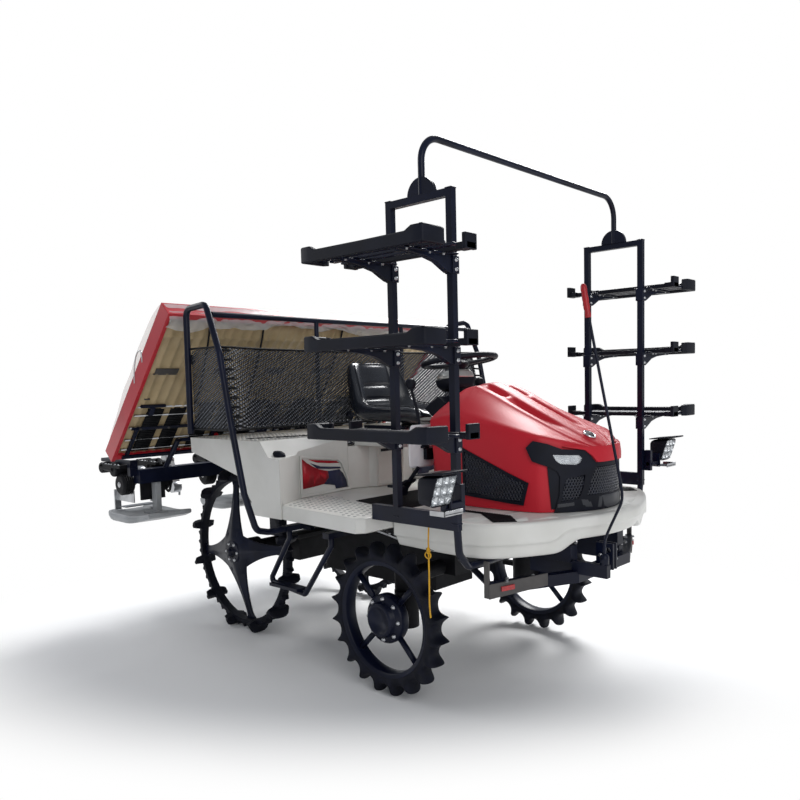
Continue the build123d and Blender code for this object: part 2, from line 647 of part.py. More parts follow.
def link_pair(pin, y, r_arm, r_eye, tie_at, r_tie):
    """Two parallel arms with bored eyes, tied by one cross tube."""
    dx, dz = lift_vector()
    far = (pin[0] + dx, pin[1] + dz)
    tie = (pin[0] + dx * tie_at, pin[1] + dz * tie_at)
    link = rod((tie[0], -y, tie[1]), (tie[0], y, tie[1]), r_tie)
    for side in (-1, 1):
        s = side * y
        link += rod((pin[0], s, pin[1]), (far[0], s, far[1]), r_arm)
        for px, pz in (pin, far):
            link += rod((px, s - 14, pz), (px, s + 14, pz), r_eye)
    for side in (-1, 1):
        for px, pz in (pin, far):
            link -= rod((px, side * y - 30, pz), (px, side * y + 30, pz), 12.0 + SHAFT_GAP)
    return link


def build_lift():
    lower = link_pair(LOWER_PIN, LINK_Y, 16.0, 24.0, CYL_EYE_ALONG, 12.0)
    px, pz = rod_pin()
    dx, dz = lift_vector()
    tie = (LOWER_PIN[0] + dx * CYL_EYE_ALONG, LOWER_PIN[1] + dz * CYL_EYE_ALONG)
    for side in (-1, 1):
        y0, y1 = sorted((side * 16, side * 26))
        lower += rod((px, y0, pz), (px, y1, pz), 16.0)
        lug = Pos((px + tie[0]) / 2, (y0 + y1) / 2, (pz + tie[1]) / 2) * Rot(0, 45, 0) * Box(22, 10, 36)
        lower += lug
    lower += rod((px, -26, pz), (px, 26, pz), 9.0)
    put("lower_link", lower)
    put("upper_link", link_pair(UPPER_PIN, UPPER_Y, 13.0, 23.0, 0.62, 11.0))
    foot, eye = Vector(CYL_PIN[0], 0, CYL_PIN[1]), Vector(px, 0, pz)
    along = (eye - foot).normalized()
    barrel = rod(tuple(foot + along * 14), tuple(foot + along * 165), 26.0)
    barrel += rod((foot.X, -22, foot.Z), (foot.X, 22, foot.Z), 21.0)
    barrel -= rod((foot.X, -40, foot.Z), (foot.X, 40, foot.Z), 10.0 + SHAFT_GAP)
    barrel -= rod(tuple(foot + along * 60), tuple(foot + along * 170), 13.0 + SHAFT_GAP)
    put("lift_cylinder", barrel)
    ram = rod(tuple(foot + along * 112), tuple(eye - along * 16), 13.0)
    ram += rod((eye.X, -10, eye.Z), (eye.X, 10, eye.Z), 20.0)
    ram -= rod((eye.X, -20, eye.Z), (eye.X, 20, eye.Z), 12.5)
    put("lift_rod", ram)


def runner_axis():
    """X and Z of the rods that the table slides on."""
    length, place = on_table()
    at = (place * Pos(RUNNER_AT[0], 0, RUNNER_AT[1])).position
    return at.X, at.Z


def build_planter():
    dx, dz = lift_vector()
    low = (LOWER_PIN[0] + dx, LOWER_PIN[1] + dz)
    top = (UPPER_PIN[0] + dx, UPPER_PIN[1] + dz)
    frame = block(-455, -385, -790, 790, 800, 875)
    for side in (-1, 1):
        y0, y1 = sorted((side * 166, side * 190))
        frame += block(low[0] - 26, low[0] + 26, y0, y1, 830, top[1] + 22)
        frame += block(-430, low[0] + 26, y0, y1, 812, 862)
        frame += rod((low[0], side * (LINK_Y - 20), low[1]), (low[0], side * 180, low[1]), 12.0)
        frame += rod((top[0], side * (UPPER_Y - 18), top[1]), (top[0], side * 180, top[1]), 12.0)
        y0, y1 = sorted((side * 770, side * 790))
        frame += block(-752, -420, side * 812 - 10, side * 812 + 10, 905, 925)
        frame += block(-455, -425, side * 800 - 22, side * 800 + 22, 840, 925)
    frame += rod((X_REAR + 10, -822, 915), (X_REAR + 10, 822, 915), 10.0)
    rx, rz = runner_axis()
    for side in (-1, 1):
        y0, y1 = sorted((side * 166, side * 190))
        frame += block(rx - 14, low[0] - 20, y0, y1, rz - 16, rz + 16)
        frame += rod((-410, side * 630, 865), (rx, side * 630, rz), 14.0)
    put("planter_frame", frame)
    put("table_runners", both(rod((rx, 190 + SEAT_GAP, rz), (rx, 616 - SEAT_GAP, rz), RUNNER_R)))
    cases = []
    for y in CASE_Y:
        case = block(-650, -455 - SEAT_GAP, y - 40, y + 40, ROTOR_Z - 40, ROTOR_Z + 40)
        case -= rod((ROTOR_X, y - 60, ROTOR_Z), (ROTOR_X, y + 60, ROTOR_Z), 14.0 + SHAFT_GAP)
        cases += solids_of(case)
    put("planting_cases", Compound(cases))
    for y, name in zip(CASE_Y, ("right", "centre", "left")):
        rotor = rod((ROTOR_X, y - 150, ROTOR_Z), (ROTOR_X, y + 150, ROTOR_Z), 14.0)
        for side, lead in ((-1, 25.0), (1, 115.0)):
            s = y + side * 118
            ends = [polar(ROTOR_X, ROTOR_Z, 84.0, lead), polar(ROTOR_X, ROTOR_Z, 84.0, lead + 180)]
            rotor += rod((ends[0][0], s - 24, ends[0][1]), (ends[0][0], s + 24, ends[0][1]), 34.0)
            rotor += rod((ends[1][0], s - 24, ends[1][1]), (ends[1][0], s + 24, ends[1][1]), 34.0)
            mid = Pos(ROTOR_X, s, ROTOR_Z) * Rot(0, -lead, 0) * Box(168, 44, 56)
            rotor += mid
            for k in (0, 1):
                tip = polar(ROTOR_X, ROTOR_Z, ROTOR_R, lead + 180 * k - 12)
                claw = rod((ends[k][0], s + 28, ends[k][1]), (tip[0], s + 28, tip[1]), 6.0)
                rotor += claw + rod((ends[k][0], s + 10, ends[k][1]), (ends[k][0], s + 34, ends[k][1]), 12.0)
        put(f"planting_rotor_{name}", rotor)
    floats = []
    for y, w in ((-680.0, 150.0), (0.0, 260.0), (680.0, 150.0)):
        body = side_plate([(-700, 612), (-690, 585), (-420, 578), (-285, 622), (-290, 652), (-680, 640)], y - w, y + w)
        body += block(-450, -395, y - 20, y + 20, 638, 800 - SEAT_GAP)
        floats += solids_of(body)
    put("floats", Compound(floats))


def on_table():
    """Placement whose X runs up the table from its foot and Z off its seedling side."""
    run = (TABLE_TOP[0] - TABLE_LOW[0], TABLE_TOP[1] - TABLE_LOW[1])
    tilt = math.degrees(math.atan2(run[1], run[0]))
    return math.hypot(*run), Pos(TABLE_LOW[0], 0, TABLE_LOW[1]) * Rot(0, -tilt, 0)


def build_table():
    length, place = on_table()
    half_w = TABLE_HALF - 20 - SEAT_GAP
    panel = block(21, length - 20 - SEAT_GAP, -half_w, half_w, -10, -2)
    for i in range(ROWS + 1):
        y = -ROW_PITCH * ROWS / 2 + ROW_PITCH * i
        panel += block(30, length - 60, y - 7, y + 7, -3, 40)
    put("table_panel", place * panel)
    rails = block(-20, length + 10, -TABLE_HALF, -TABLE_HALF + 20, -32, 50)
    rails += block(-20, length + 10, TABLE_HALF - 20, TABLE_HALF, -32, 50)
    rails += block(length - 20, length + 10, -TABLE_HALF, TABLE_HALF, -32, 50)
    rails += block(-10, 20, -TABLE_HALF, TABLE_HALF, -30, -10.2)
    for y in (-400, 400):
        rails += block(-10, RUNNER_AT[0] + 18, y - 12, y + 12, RUNNER_AT[1] - 18, -28)
        rails -= rod((RUNNER_AT[0], y - 20, RUNNER_AT[1]), (RUNNER_AT[0], y + 20, RUNNER_AT[1]), RUNNER_R + SHAFT_GAP)
    put("table_frame", place * rails)
    belts = []
    for i in range(ROWS):
        mid = -ROW_PITCH * (ROWS - 1) / 2 + ROW_PITCH * i
        for side in (-1, 1):
            s = mid + side * 62
            belts += solids_of(block(40, 330, s - 45, s + 45, -24, -10 - SEAT_GAP))
    put("feed_belts", place * Compound(belts))
    film = block(200, length + 8, -TABLE_HALF + 8, TABLE_HALF - 8, 50 + SEAT_GAP, 55)
    put("film_cover", place * film)


build_wheels()
build_running_gear()
build_decks()
build_seat()
build_controls()
build_hood()
build_racks()
build_guard()
build_front()
build_lift()
build_planter()
build_table()

for node, shape in NODES.items():
    export_step(Pos(X_SHIFT, 0, 0) * shape, f"parts/{node}.step")
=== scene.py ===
"""Looks of the riding rice transplanter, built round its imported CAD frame, in metres."""

import json
import math

import bmesh
import bpy
from mathutils import Matrix, Vector


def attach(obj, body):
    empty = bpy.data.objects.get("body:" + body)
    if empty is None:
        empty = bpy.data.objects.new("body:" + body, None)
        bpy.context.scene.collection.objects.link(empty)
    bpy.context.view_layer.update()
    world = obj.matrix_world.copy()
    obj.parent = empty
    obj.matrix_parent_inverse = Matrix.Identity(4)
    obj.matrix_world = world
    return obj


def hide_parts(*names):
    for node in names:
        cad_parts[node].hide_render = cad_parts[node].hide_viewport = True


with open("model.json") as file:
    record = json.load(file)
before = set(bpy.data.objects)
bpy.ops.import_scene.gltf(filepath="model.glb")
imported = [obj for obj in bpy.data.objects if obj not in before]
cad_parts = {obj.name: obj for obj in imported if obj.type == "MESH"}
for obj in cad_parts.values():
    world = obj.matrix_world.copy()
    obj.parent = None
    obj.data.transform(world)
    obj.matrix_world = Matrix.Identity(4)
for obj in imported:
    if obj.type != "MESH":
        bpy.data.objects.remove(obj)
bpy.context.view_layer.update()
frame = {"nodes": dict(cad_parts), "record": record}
NODES = frame["nodes"]

# ================================================================ places
REAR = -0.67005            # frame X of the rear axle, in metres; the layout is drawn from it
# layout sizes in millimetres: X from the rear axle, Y from the middle, Z from the ground
WHEELBASE = 1220.0
FRONT_HALF_TRACK = 555.0
REAR_HALF_TRACK = 425.0
LUGS = 20                  # claws round a front tyre
PADDLES = 12               # paddles round a rear ring
FRONT_RADIUS = 328.0       # over the claws
REAR_RADIUS = 445.0        # over the paddles
# each wheel stands on two tips at once
FRONT_Z = FRONT_RADIUS * math.cos(math.pi / LUGS)
REAR_Z = REAR_RADIUS * math.cos(math.pi / PADDLES)
DECK_TOP = 785             # floor deck and walkway
WING_TOP = 1060
POSTS_X = (1449.0, 1739.0)             # middles of each rack's two posts
SHELVES_Z = (1131.0, 1440.0, 1750.0)   # levels of the tray shelves
ROW_PITCH = 300                        # planting rows across the table
SIDES = (("right", -1), ("left", 1))


def at(x, y, z):
    """A layout point as a frame point in metres."""
    return Vector((x / 1000 + REAR, y / 1000, z / 1000))


# ================================================================ materials
def linear(code):
    """An sRGB hex colour as a linear RGBA."""
    parts = [int(code[i:i + 2], 16) / 255 for i in (0, 2, 4)]
    return [c / 12.92 if c <= 0.04045 else ((c + 0.055) / 1.055) ** 2.4 for c in parts] + [1.0]


def add(tree, kind, settings=(), links=()):
    """Add one node: settings name its sockets or attributes, links name its inputs."""
    node = tree.nodes.new(kind)
    for name, value in dict(settings).items():
        if isinstance(name, str) and hasattr(node, name):
            setattr(node, name, value)
        else:
            node.inputs[name].default_value = value
    for name, output in dict(links).items():
        tree.links.new(output, node.inputs[name])
    return node


def per_metre(millimetres):
    """Texture scale that repeats once in so many millimetres."""
    return 1000.0 / millimetres


def blank(name):
    """A material with an empty node tree, and the tree."""
    made = bpy.data.materials.new(name)
    made.use_nodes = True
    made.node_tree.nodes.clear()
    return made, made.node_tree


def surface(name, colour, worn, grain_mm, patch_mm, bump, round_mm=2.0, detail=3.0, **shader):
    """A finish with two colours in soft patches, a fine grain, and eased edges."""
    made, tree = blank(name)
    place = add(tree, "ShaderNodeTexCoord")
    patches = add(tree, "ShaderNodeTexNoise", {"Scale": per_metre(patch_mm), "Detail": 5.0},
                  {"Vector": place.outputs["Object"]})
    spread = add(tree, "ShaderNodeMapRange", {"From Min": 0.42, "From Max": 0.68},
                 {"Value": patches.outputs["Fac"]})
    tone = add(tree, "ShaderNodeMix", {"data_type": "RGBA", 6: linear(colour), 7: linear(worn)},
               {0: spread.outputs["Result"]})
    grain = add(tree, "ShaderNodeTexNoise", {"Scale": per_metre(grain_mm), "Detail": detail},
                {"Vector": place.outputs["Object"]})
    edge = add(tree, "ShaderNodeBevel", {"samples": 4, "Radius": round_mm / 1000})
    relief = add(tree, "ShaderNodeBump", {"Strength": bump, "Distance": grain_mm / 4000},
                 {"Height": grain.outputs["Fac"], "Normal": edge.outputs["Normal"]})
    body = add(tree, "ShaderNodeBsdfPrincipled", shader,
               {"Base Color": tone.outputs[2], "Normal": relief.outputs["Normal"]})
    add(tree, "ShaderNodeOutputMaterial", (), {"Surface": body.outputs["BSDF"]})
    return made


# dark finishes give back less of the sky than their gloss alone would: grain and dust break it up
DULL = {"IOR": 1.49, "Specular IOR Level": 0.22}
# moulded ABS under clear lacquer: a deep red with a soft, broad highlight
RED_ABS = surface("red_abs_lacquered", "C2202F", "B81B2A", 1.5, 400, 0.04, 4.0, Roughness=0.5,
                  **{"Coat Weight": 0.1, "Coat Roughness": 0.25, "Specular IOR Level": 0.25, "IOR": 1.5})
# moulded ABS, self-coloured: warm white, softly shining, a little dusty in patches
WHITE_ABS = surface("white_abs_moulded", "DEDDD8", "D2D1CB", 1.2, 220, 0.08, 5.0,
                    Roughness=0.38, IOR=1.5)
# polypropylene with a spark-eroded grain: matt black, fine sparkle at the edges
BLACK_PP = surface("black_polypropylene_grained", "080B17", "0D111F", 1.0, 90, 0.35, 2.0,
                   Roughness=0.55, **DULL)
# steel tube, powder-coated: blue-black with a slight orange-peel
BLACK_COAT = surface("black_powder_coated_steel", "080D20", "0E152C", 3.0, 150, 0.12, 1.5,
                     Roughness=0.34, **DULL)
# grey cast iron under brushed black paint: dull, rough and uneven
CAST_BLACK = surface("black_painted_cast_iron", "0A0B10", "15151A", 4.0, 60, 0.5, 3.0,
                     Roughness=0.6, **DULL)
# tyre rubber: near black, bloomed to grey on the sides, finely pitted
TYRE = surface("moulded_tyre_rubber", "060915", "0D1020", 2.5, 45, 0.4, 2.0,
               Roughness=0.62, **DULL)
# zinc-plated steel: bright, faintly blue, lightly brushed
ZINC = surface("zinc_plated_steel", "B9BBBE", "A2A3A6", 0.8, 60, 0.15, 1.0,
               Roughness=0.32, Metallic=1.0)
# oven-baked enamel on pressed steel, the table's side rails: red with a hard, even gloss
RED_ENAMEL = surface("red_enamelled_steel", "B81F2C", "A81A26", 2.5, 200, 0.08, 2.5,
                     Roughness=0.3, **{"Coat Weight": 0.3, "Coat Roughness": 0.1, "IOR": 1.5})
# natural polypropylene sheet: beige, waxy, slightly mottled
BEIGE_PP = surface("beige_polypropylene_sheet", "B7A27C", "A6906A", 2.0, 120, 0.15, 2.5,
                   Roughness=0.5, IOR=1.49)
# rotomoulded polyethylene: grey floats with a waxy sheen
FLOAT_PE = surface("grey_polyethylene_rotomoulded", "A4A6A8", "8D9092", 3.0, 110, 0.2, 6.0,
                   Roughness=0.45, IOR=1.51)
# vulcanised belt rubber: matt black, slightly dusty
BELT = surface("feed_belt_rubber", "08090D", "101116", 2.0, 60, 0.4, 1.5, Roughness=0.65, **DULL)
# PVC leathercloth: black, soft sheen, fine pebble
VINYL = surface("black_pvc_leathercloth", "151922", "1B202B", 1.6, 120, 0.25, 2.0,
                Roughness=0.27, **{"IOR": 1.5, "Specular IOR Level": 0.7})
# polypropylene cord, twisted: strong yellow
CORD = surface("yellow_polypropylene_cord", "D9A516", "C48F10", 1.5, 20, 0.5, 0.5,
               Roughness=0.55, IOR=1.49)

# vacuum-metallised reflector: mirror-bright with a soft ripple
CHROME = surface("metallised_reflector", "D6D8DA", "C2C5C8", 6.0, 30, 0.3, 0.5, Roughness=0.12, Metallic=1.0)


def glassy(name, colour, roughness, clear, ripple_mm, bump):
    """A clear moulding: sharp gloss over what is behind it, with a faint ripple."""
    made, tree = blank(name)
    place = add(tree, "ShaderNodeTexCoord")
    ripple = add(tree, "ShaderNodeTexNoise", {"Scale": per_metre(ripple_mm), "Detail": 2.0},
                 {"Vector": place.outputs["Object"]})
    relief = add(tree, "ShaderNodeBump", {"Strength": bump, "Distance": 0.004},
                 {"Height": ripple.outputs["Fac"]})
    body = add(tree, "ShaderNodeBsdfPrincipled",
               {"Base Color": linear(colour), "Roughness": roughness, "Alpha": clear, "IOR": 1.49},
               {"Normal": relief.outputs["Normal"]})
    add(tree, "ShaderNodeOutputMaterial", (), {"Surface": body.outputs["BSDF"]})
    return made


# polycarbonate lens: clear, hard-coated, very smooth
LENS = glassy("clear_polycarbonate_lens", "E8EEF2", 0.05, 0.28, 18, 0.1)
# polyethylene film: thin, loose, glints where it wrinkles
FILM = glassy("clear_polyethylene_film", "EEF1F2", 0.2, 0.4, 60, 0.9)


def knitted(name, colour, pitch_mm):
    """Knitted polyethylene tape: slanting loops with small holes that show what is behind, and painted grey
    glints on their crests.
    """
    made, tree = blank(name)
    place = add(tree, "ShaderNodeTexCoord")
    parts = add(tree, "ShaderNodeSeparateXYZ", (), {0: place.outputs["Object"]})
    along = add(tree, "ShaderNodeMath", {"operation": "ADD"}, {0: parts.outputs["X"], 1: parts.outputs["Y"]})
    heights = []
    for lean, stretch in ((0.8, 1.0), (-1.6, 0.45)):
        slant = add(tree, "ShaderNodeMath", {"operation": "MULTIPLY_ADD", 1: lean},
                    {0: parts.outputs["Z"], 2: along.outputs[0]})
        turns = 2 * math.pi * per_metre(pitch_mm) * stretch
        wave = add(tree, "ShaderNodeMath", {"operation": "MULTIPLY", 1: turns}, {0: slant.outputs[0]})
        heights.append(add(tree, "ShaderNodeMath", {"operation": "SINE"}, {0: wave.outputs[0]}))
    weave = add(tree, "ShaderNodeMath", {"operation": "ADD"},
                {0: heights[0].outputs[0], 1: heights[1].outputs[0]})
    fuzz = add(tree, "ShaderNodeTexNoise", {"Scale": per_metre(pitch_mm * 0.8)},
               {"Vector": place.outputs["Object"]})
    rough = add(tree, "ShaderNodeMath", {"operation": "MULTIPLY_ADD", 1: 2.4},
                {0: fuzz.outputs["Fac"], 2: weave.outputs[0]})
    tape = add(tree, "ShaderNodeMapRange", {"From Min": 0.05, "From Max": 0.2}, {"Value": rough.outputs[0]})
    # painted highlight: a grey mixed into the tape where the weave stands highest, standing for the sheen on
    # the loops
    painted_glint = add(tree, "ShaderNodeMapRange", {"From Min": 2.1, "From Max": 2.9}, {"Value": rough.outputs[0]})
    tone = add(tree, "ShaderNodeMix", {"data_type": "RGBA", 6: linear(colour), 7: linear("8E93A0")},
               {0: painted_glint.outputs["Result"]})
    relief = add(tree, "ShaderNodeBump", {"Strength": 0.9, "Distance": 0.003}, {"Height": rough.outputs[0]})
    body = add(tree, "ShaderNodeBsdfPrincipled", {"Roughness": 0.6},
               {"Base Color": tone.outputs[2], "Alpha": tape.outputs["Result"],
                "Normal": relief.outputs["Normal"]})
    add(tree, "ShaderNodeOutputMaterial", (), {"Surface": body.outputs["BSDF"]})
    return made


LOOP_MM = 13.0
# knitted shade net: blue-black tape with painted grey glints on its highest loops, drawn with loops of 13 mm
# where the real ones are about 4, so that they show
NET = knitted("black_knitted_shade_net", "0A0C14", LOOP_MM)
# printed vinyl film: deep navy, satin
NAVY = surface("navy_vinyl_film", "1C2140", "20264A", 1.0, 80, 0.05, 0.5, Roughness=0.4, IOR=1.5)
# coated paper: blank, slightly curled
PAPER = surface("blank_coated_paper", "E9E9EC", "DDDEE4", 1.0, 60, 0.1, 0.5, Roughness=0.6, IOR=1.5)
# moulded acrylic over small prisms: glossy deep red with a fine sparkle
RED_LENS = surface("red_acrylic_reflector", "B01018", "8E0A12", 2.0, 12, 0.8, 0.8, Roughness=0.15, IOR=1.49,
                   **{"Coat Weight": 0.6})
# dipped PVC sleeve: red, soft sheen
RED_PVC = surface("red_pvc_sleeve", "B3141F", "9C101A", 1.5, 60, 0.2, 0.8, Roughness=0.45, IOR=1.5)
# enamel on folded plate: warm dark grey, slightly glossy
GREY_ENAMEL = surface("grey_enamelled_plate", "4A4746", "3C3A3A", 2.5, 90, 0.2, 1.5, Roughness=0.42, IOR=1.5)
# moulded PP, dark grey: trims on the nose, a shade lighter than the mask
GREY_TRIM = surface("dark_grey_moulded_trim", "2A2C33", "33353B", 1.0, 90, 0.2, 2.0, Roughness=0.4, IOR=1.49)
# pale grey, rough: the decks' dots, a darker grey than the deck round them so that they show
GRIP_GREY = surface("grey_anti_slip_dots", "A2A3A2", "B2B3B1", 1.5, 60, 0.4, 0.5, Roughness=0.7, IOR=1.5)
# painted ABS in silver: satin pod on the steering column
SILVER = surface("silver_painted_abs", "B9BAB6", "A9AAA7", 1.5, 60, 0.08, 2.0, Roughness=0.28, Metallic=0.6)
# moulded mesh insert: satin navy-black, its ribs catching the light
MESH_BLACK = surface("satin_black_mesh_insert", "0B0F1E", "11172A", 1.0, 60, 0.1, 0.8, Roughness=0.26,
                     **{"IOR": 1.5, "Specular IOR Level": 0.5})
# PVC sleeve over a wiring loom: black, slightly glossy
LOOM_SLEEVE = surface("black_pvc_loom_sleeve", "0C0E14", "14161E", 1.5, 40, 0.1, 0.8, Roughness=0.35, IOR=1.5)

# what each material slot of the frame is finished in
FINISH = {"belt_rubber": BELT, "black_plastic": BLACK_PP, "black_steel": BLACK_COAT, "bright_steel": ZINC,
          "cast_black": CAST_BLACK, "cord": CORD, "float_plastic": FLOAT_PE, "red_panel": RED_ABS,
          "red_steel": RED_ENAMEL, "seat_vinyl": VINYL, "table_plastic": BEIGE_PP, "tyre": TYRE,
          "white_panel": WHITE_ABS, "film": WHITE_ABS, "net": BLACK_PP}
for part in frame["record"]["subparts"]:
    holder = NODES[part["node"]]
    for slot in holder.material_slots:
        slot.material = FINISH[part["material_slot"]]
    if not holder.material_slots:
        holder.data.materials.append(FINISH[part["material_slot"]])


# ================================================================ studio
def build_sky():
    """A soft world that the camera and clear plastics see as white."""
    world = bpy.data.worlds.new("studio")
    bpy.context.scene.world = world
    world.use_nodes = True
    tree = world.node_tree
    tree.nodes.clear()
    ray = add(tree, "ShaderNodeLightPath")
    soft = add(tree, "ShaderNodeBackground", {"Color": linear("E9EEF6"), "Strength": 0.42})
    seen = add(tree, "ShaderNodeBackground", {"Color": (1, 1, 1, 1), "Strength": 1.0})
    sharp = add(tree, "ShaderNodeMath", {"operation": "MAXIMUM"},
                {0: ray.outputs["Is Camera Ray"], 1: ray.outputs["Is Transmission Ray"]})
    mix = add(tree, "ShaderNodeMixShader", (), {0: sharp.outputs[0], 1: soft.outputs[0], 2: seen.outputs[0]})
    add(tree, "ShaderNodeOutputWorld", (), {"Surface": mix.outputs[0]})


def build_floor():
    """A pale round floor whose middle, an oval under the machine, fades to white round it."""
    bm = bmesh.new()
    bmesh.ops.create_circle(bm, cap_ends=True, segments=96, radius=30.0)
    mesh = bpy.data.meshes.new("floor")
    bm.to_mesh(mesh)
    bm.free()
    floor = bpy.data.objects.new("floor", mesh)
    bpy.context.collection.objects.link(floor)
    paint, tree = blank("matt_white_floor")
    place = add(tree, "ShaderNodeTexCoord")
    # the oval's two half axes, in metres, are one over the lengths of these two directions
    across = add(tree, "ShaderNodeVectorMath", {"operation": "DOT_PRODUCT", 1: (0.324, 0.29, 0.0)},
                 {0: place.outputs["Object"]})
    ahead = add(tree, "ShaderNodeVectorMath", {"operation": "DOT_PRODUCT", 1: (0.429, -0.479, 0.0)},
                {0: place.outputs["Object"]})
    shifted = add(tree, "ShaderNodeMath", {"operation": "ADD", 1: 0.13}, {0: ahead.outputs["Value"]})
    oval = add(tree, "ShaderNodeCombineXYZ", (), {"X": across.outputs["Value"], "Y": shifted.outputs[0]})
    reach = add(tree, "ShaderNodeVectorMath", {"operation": "LENGTH"}, {0: oval.outputs[0]})
    fade = add(tree, "ShaderNodeMapRange",
               {"From Min": 0.7, "From Max": 1.15, "interpolation_type": "SMOOTHSTEP"},
               {"Value": reach.outputs["Value"]})
    ray = add(tree, "ShaderNodeLightPath")
    sharp = add(tree, "ShaderNodeMath", {"operation": "MAXIMUM"},
                {0: ray.outputs["Is Camera Ray"], 1: ray.outputs["Is Glossy Ray"]})
    clear = add(tree, "ShaderNodeMath", {"operation": "MAXIMUM"},
                {0: sharp.outputs[0], 1: ray.outputs["Is Transmission Ray"]})
    share = add(tree, "ShaderNodeMath", {"operation": "MULTIPLY"},
                {0: fade.outputs["Result"], 1: clear.outputs[0]})
    matt = add(tree, "ShaderNodeBsdfDiffuse", {"Color": linear("F4F4F4")})
    glow = add(tree, "ShaderNodeEmission", {"Color": (1, 1, 1, 1), "Strength": 1.0})
    mix = add(tree, "ShaderNodeMixShader", (), {0: share.outputs[0], 1: matt.outputs[0], 2: glow.outputs[0]})
    add(tree, "ShaderNodeOutputMaterial", (), {"Surface": mix.outputs[0]})
    floor.data.materials.append(paint)


def build_lights():
    """Three large soft lamps: name, place, width in metres and power in watts."""
    lamps = [("key", (-1.2, 4.2, 5.2), 3.4, 500.0), ("fill", (5.2, -2.6, 3.0), 4.0, 95.0),
             ("back", (-4.5, -2.0, 3.6), 3.0, 60.0)]
    for name, place, size, power in lamps:
        light = bpy.data.lights.new(name, "AREA")
        light.shape = "DISK"
        light.size = size
        light.energy = power
        lamp = bpy.data.objects.new(name, light)
        lamp.location = place
        aim = Vector((0, 0, 0.8)) - Vector(place)
        lamp.rotation_euler = aim.to_track_quat("-Z", "Y").to_euler()
        bpy.context.collection.objects.link(lamp)


def build_camera():
    """Three-quarter view from the front right, at chest height."""
    lens = bpy.data.cameras.new("camera")
    lens.sensor_width = 36.0
    lens.lens = 34.04
    lens.shift_x = -0.0382
    lens.shift_y = 0.0545
    right = Vector((0.74600, 0.66556, -0.02230)).normalized()
    ahead = Vector((-0.66493, 0.74262, -0.07999)).normalized()
    up = right.cross(ahead).normalized()
    turn = Matrix((right, up, -ahead)).transposed().to_4x4()
    eye = bpy.data.objects.new("camera", lens)
    eye.matrix_world = Matrix.Translation(at(3438, -2736, 1302)) @ turn
    bpy.context.collection.objects.link(eye)
    bpy.context.scene.camera = eye
    bpy.context.scene.view_settings.view_transform = "Standard"


# ================================================================ mesh helpers
def piece(name, shape, finish, body, slot=None, stands_for=(), rounding=0, thick=0, ease=0, creases=()):
    """One mesh piece from a shape, its layout points and its faces, riding on a body."""
    points, faces = shape
    mesh = bpy.data.meshes.new(name)
    mesh.from_pydata([at(*p) for p in points], [], faces)
    mesh.validate()
    if creases:
        marks = mesh.attributes.new("crease_edge", "FLOAT", "EDGE")
        ends = {tuple(sorted(e.vertices)): e.index for e in mesh.edges}
        for a, b, amount in creases:
            key = tuple(sorted((a, b)))
            if key in ends:
                marks.data[ends[key]].value = amount
    bm = bmesh.new()
    bm.from_mesh(mesh)
    bmesh.ops.recalc_face_normals(bm, faces=bm.faces)
    bm.to_mesh(mesh)
    bm.free()
    return dress(bpy.data.objects.new(name, mesh), finish, body, slot, stands_for, rounding, thick, ease)


def dress(made, finish, body, slot=None, stands_for=(), rounding=0, thick=0, ease=0):
    """Link an object, finish it and let it ride on a body.

    rounding counts subdivision steps; thick, a wall, and ease, its rounded edges, are millimetres.
    """
    bpy.context.collection.objects.link(made)
    made.data.materials.append(finish)
    if made.type == "MESH":
        for face in made.data.polygons:
            face.use_smooth = True
    if rounding:
        smooth = made.modifiers.new("rounding", "SUBSURF")
        smooth.levels = smooth.render_levels = rounding
    if thick:
        wall = made.modifiers.new("wall", "SOLIDIFY")
        wall.thickness = thick / 1000
        wall.offset = -1.0
    if ease:
        eased(made, ease)
    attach(made, body)
    if stands_for:
        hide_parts(*stands_for)
    return made


def eased(made, width, steps=2, angle=32.0):
    """Round an object's sharp edges by so many millimetres."""
    bevel = made.modifiers.new("eased edges", "BEVEL")
    bevel.width = width / 1000
    bevel.segments = steps
    bevel.limit_method = "ANGLE"
    bevel.angle_limit = math.radians(angle)
    bevel.harden_normals = True
    return made


def grid(rows, closed=False, caps=False):
    """Points and quads of a sheet of rows of equal length; closed joins each row's ends."""
    wide = len(rows[0])
    points = [p for row in rows for p in row]
    faces = []
    for i in range(len(rows) - 1):
        for j in range(wide if closed else wide - 1):
            k = (j + 1) % wide
            faces.append((i * wide + j, i * wide + k, (i + 1) * wide + k, (i + 1) * wide + j))
    if caps:
        faces.append(tuple(range(wide))[::-1])
        faces.append(tuple(range((len(rows) - 1) * wide, len(rows) * wide)))
    return points, faces


BOX_FACES = [(0, 1, 3, 2), (4, 6, 7, 5), (0, 4, 5, 1), (2, 3, 7, 6), (0, 2, 6, 4), (1, 5, 7, 3)]


def box(x0, x1, y0, y1, z0, z1):
    """Points and quads of a box between two corners."""
    return [(x, y, z) for x in (x0, x1) for y in (y0, y1) for z in (z0, z1)], BOX_FACES


def solid(rows):
    """Rows of equal length as a closed body with capped ends."""
    return grid(rows, closed=True, caps=True)


def plate(outline, low, high):
    """A flat outline, seen from above, as a plate between two heights."""
    return solid([[(x, y, z) for x, y in outline] for z in (low, high)])


def circle(count, start=0.0):
    """Angles evenly round a circle, in radians."""
    return [2 * math.pi * (i + start) / count for i in range(count)]


def joined(parts):
    """Several (points, faces) pairs as one."""
    points, faces = [], []
    for some, more in parts:
        base = len(points)
        points += some
        faces += [tuple(base + i for i in face) for face in more]
    return points, faces


def lathe(profile, centre, axis, sides):
    """Points and quads of a profile of (radius, along) turned about an axis."""
    ahead = Vector(axis).normalized()
    over = ahead.orthogonal().normalized()
    out = ahead.cross(over)
    rows = []
    for r, d in profile:
        rows.append([tuple(Vector(centre) + ahead * d + (over * math.cos(a) + out * math.sin(a)) * r)
                     for a in circle(sides)])
    return grid(rows, closed=True)


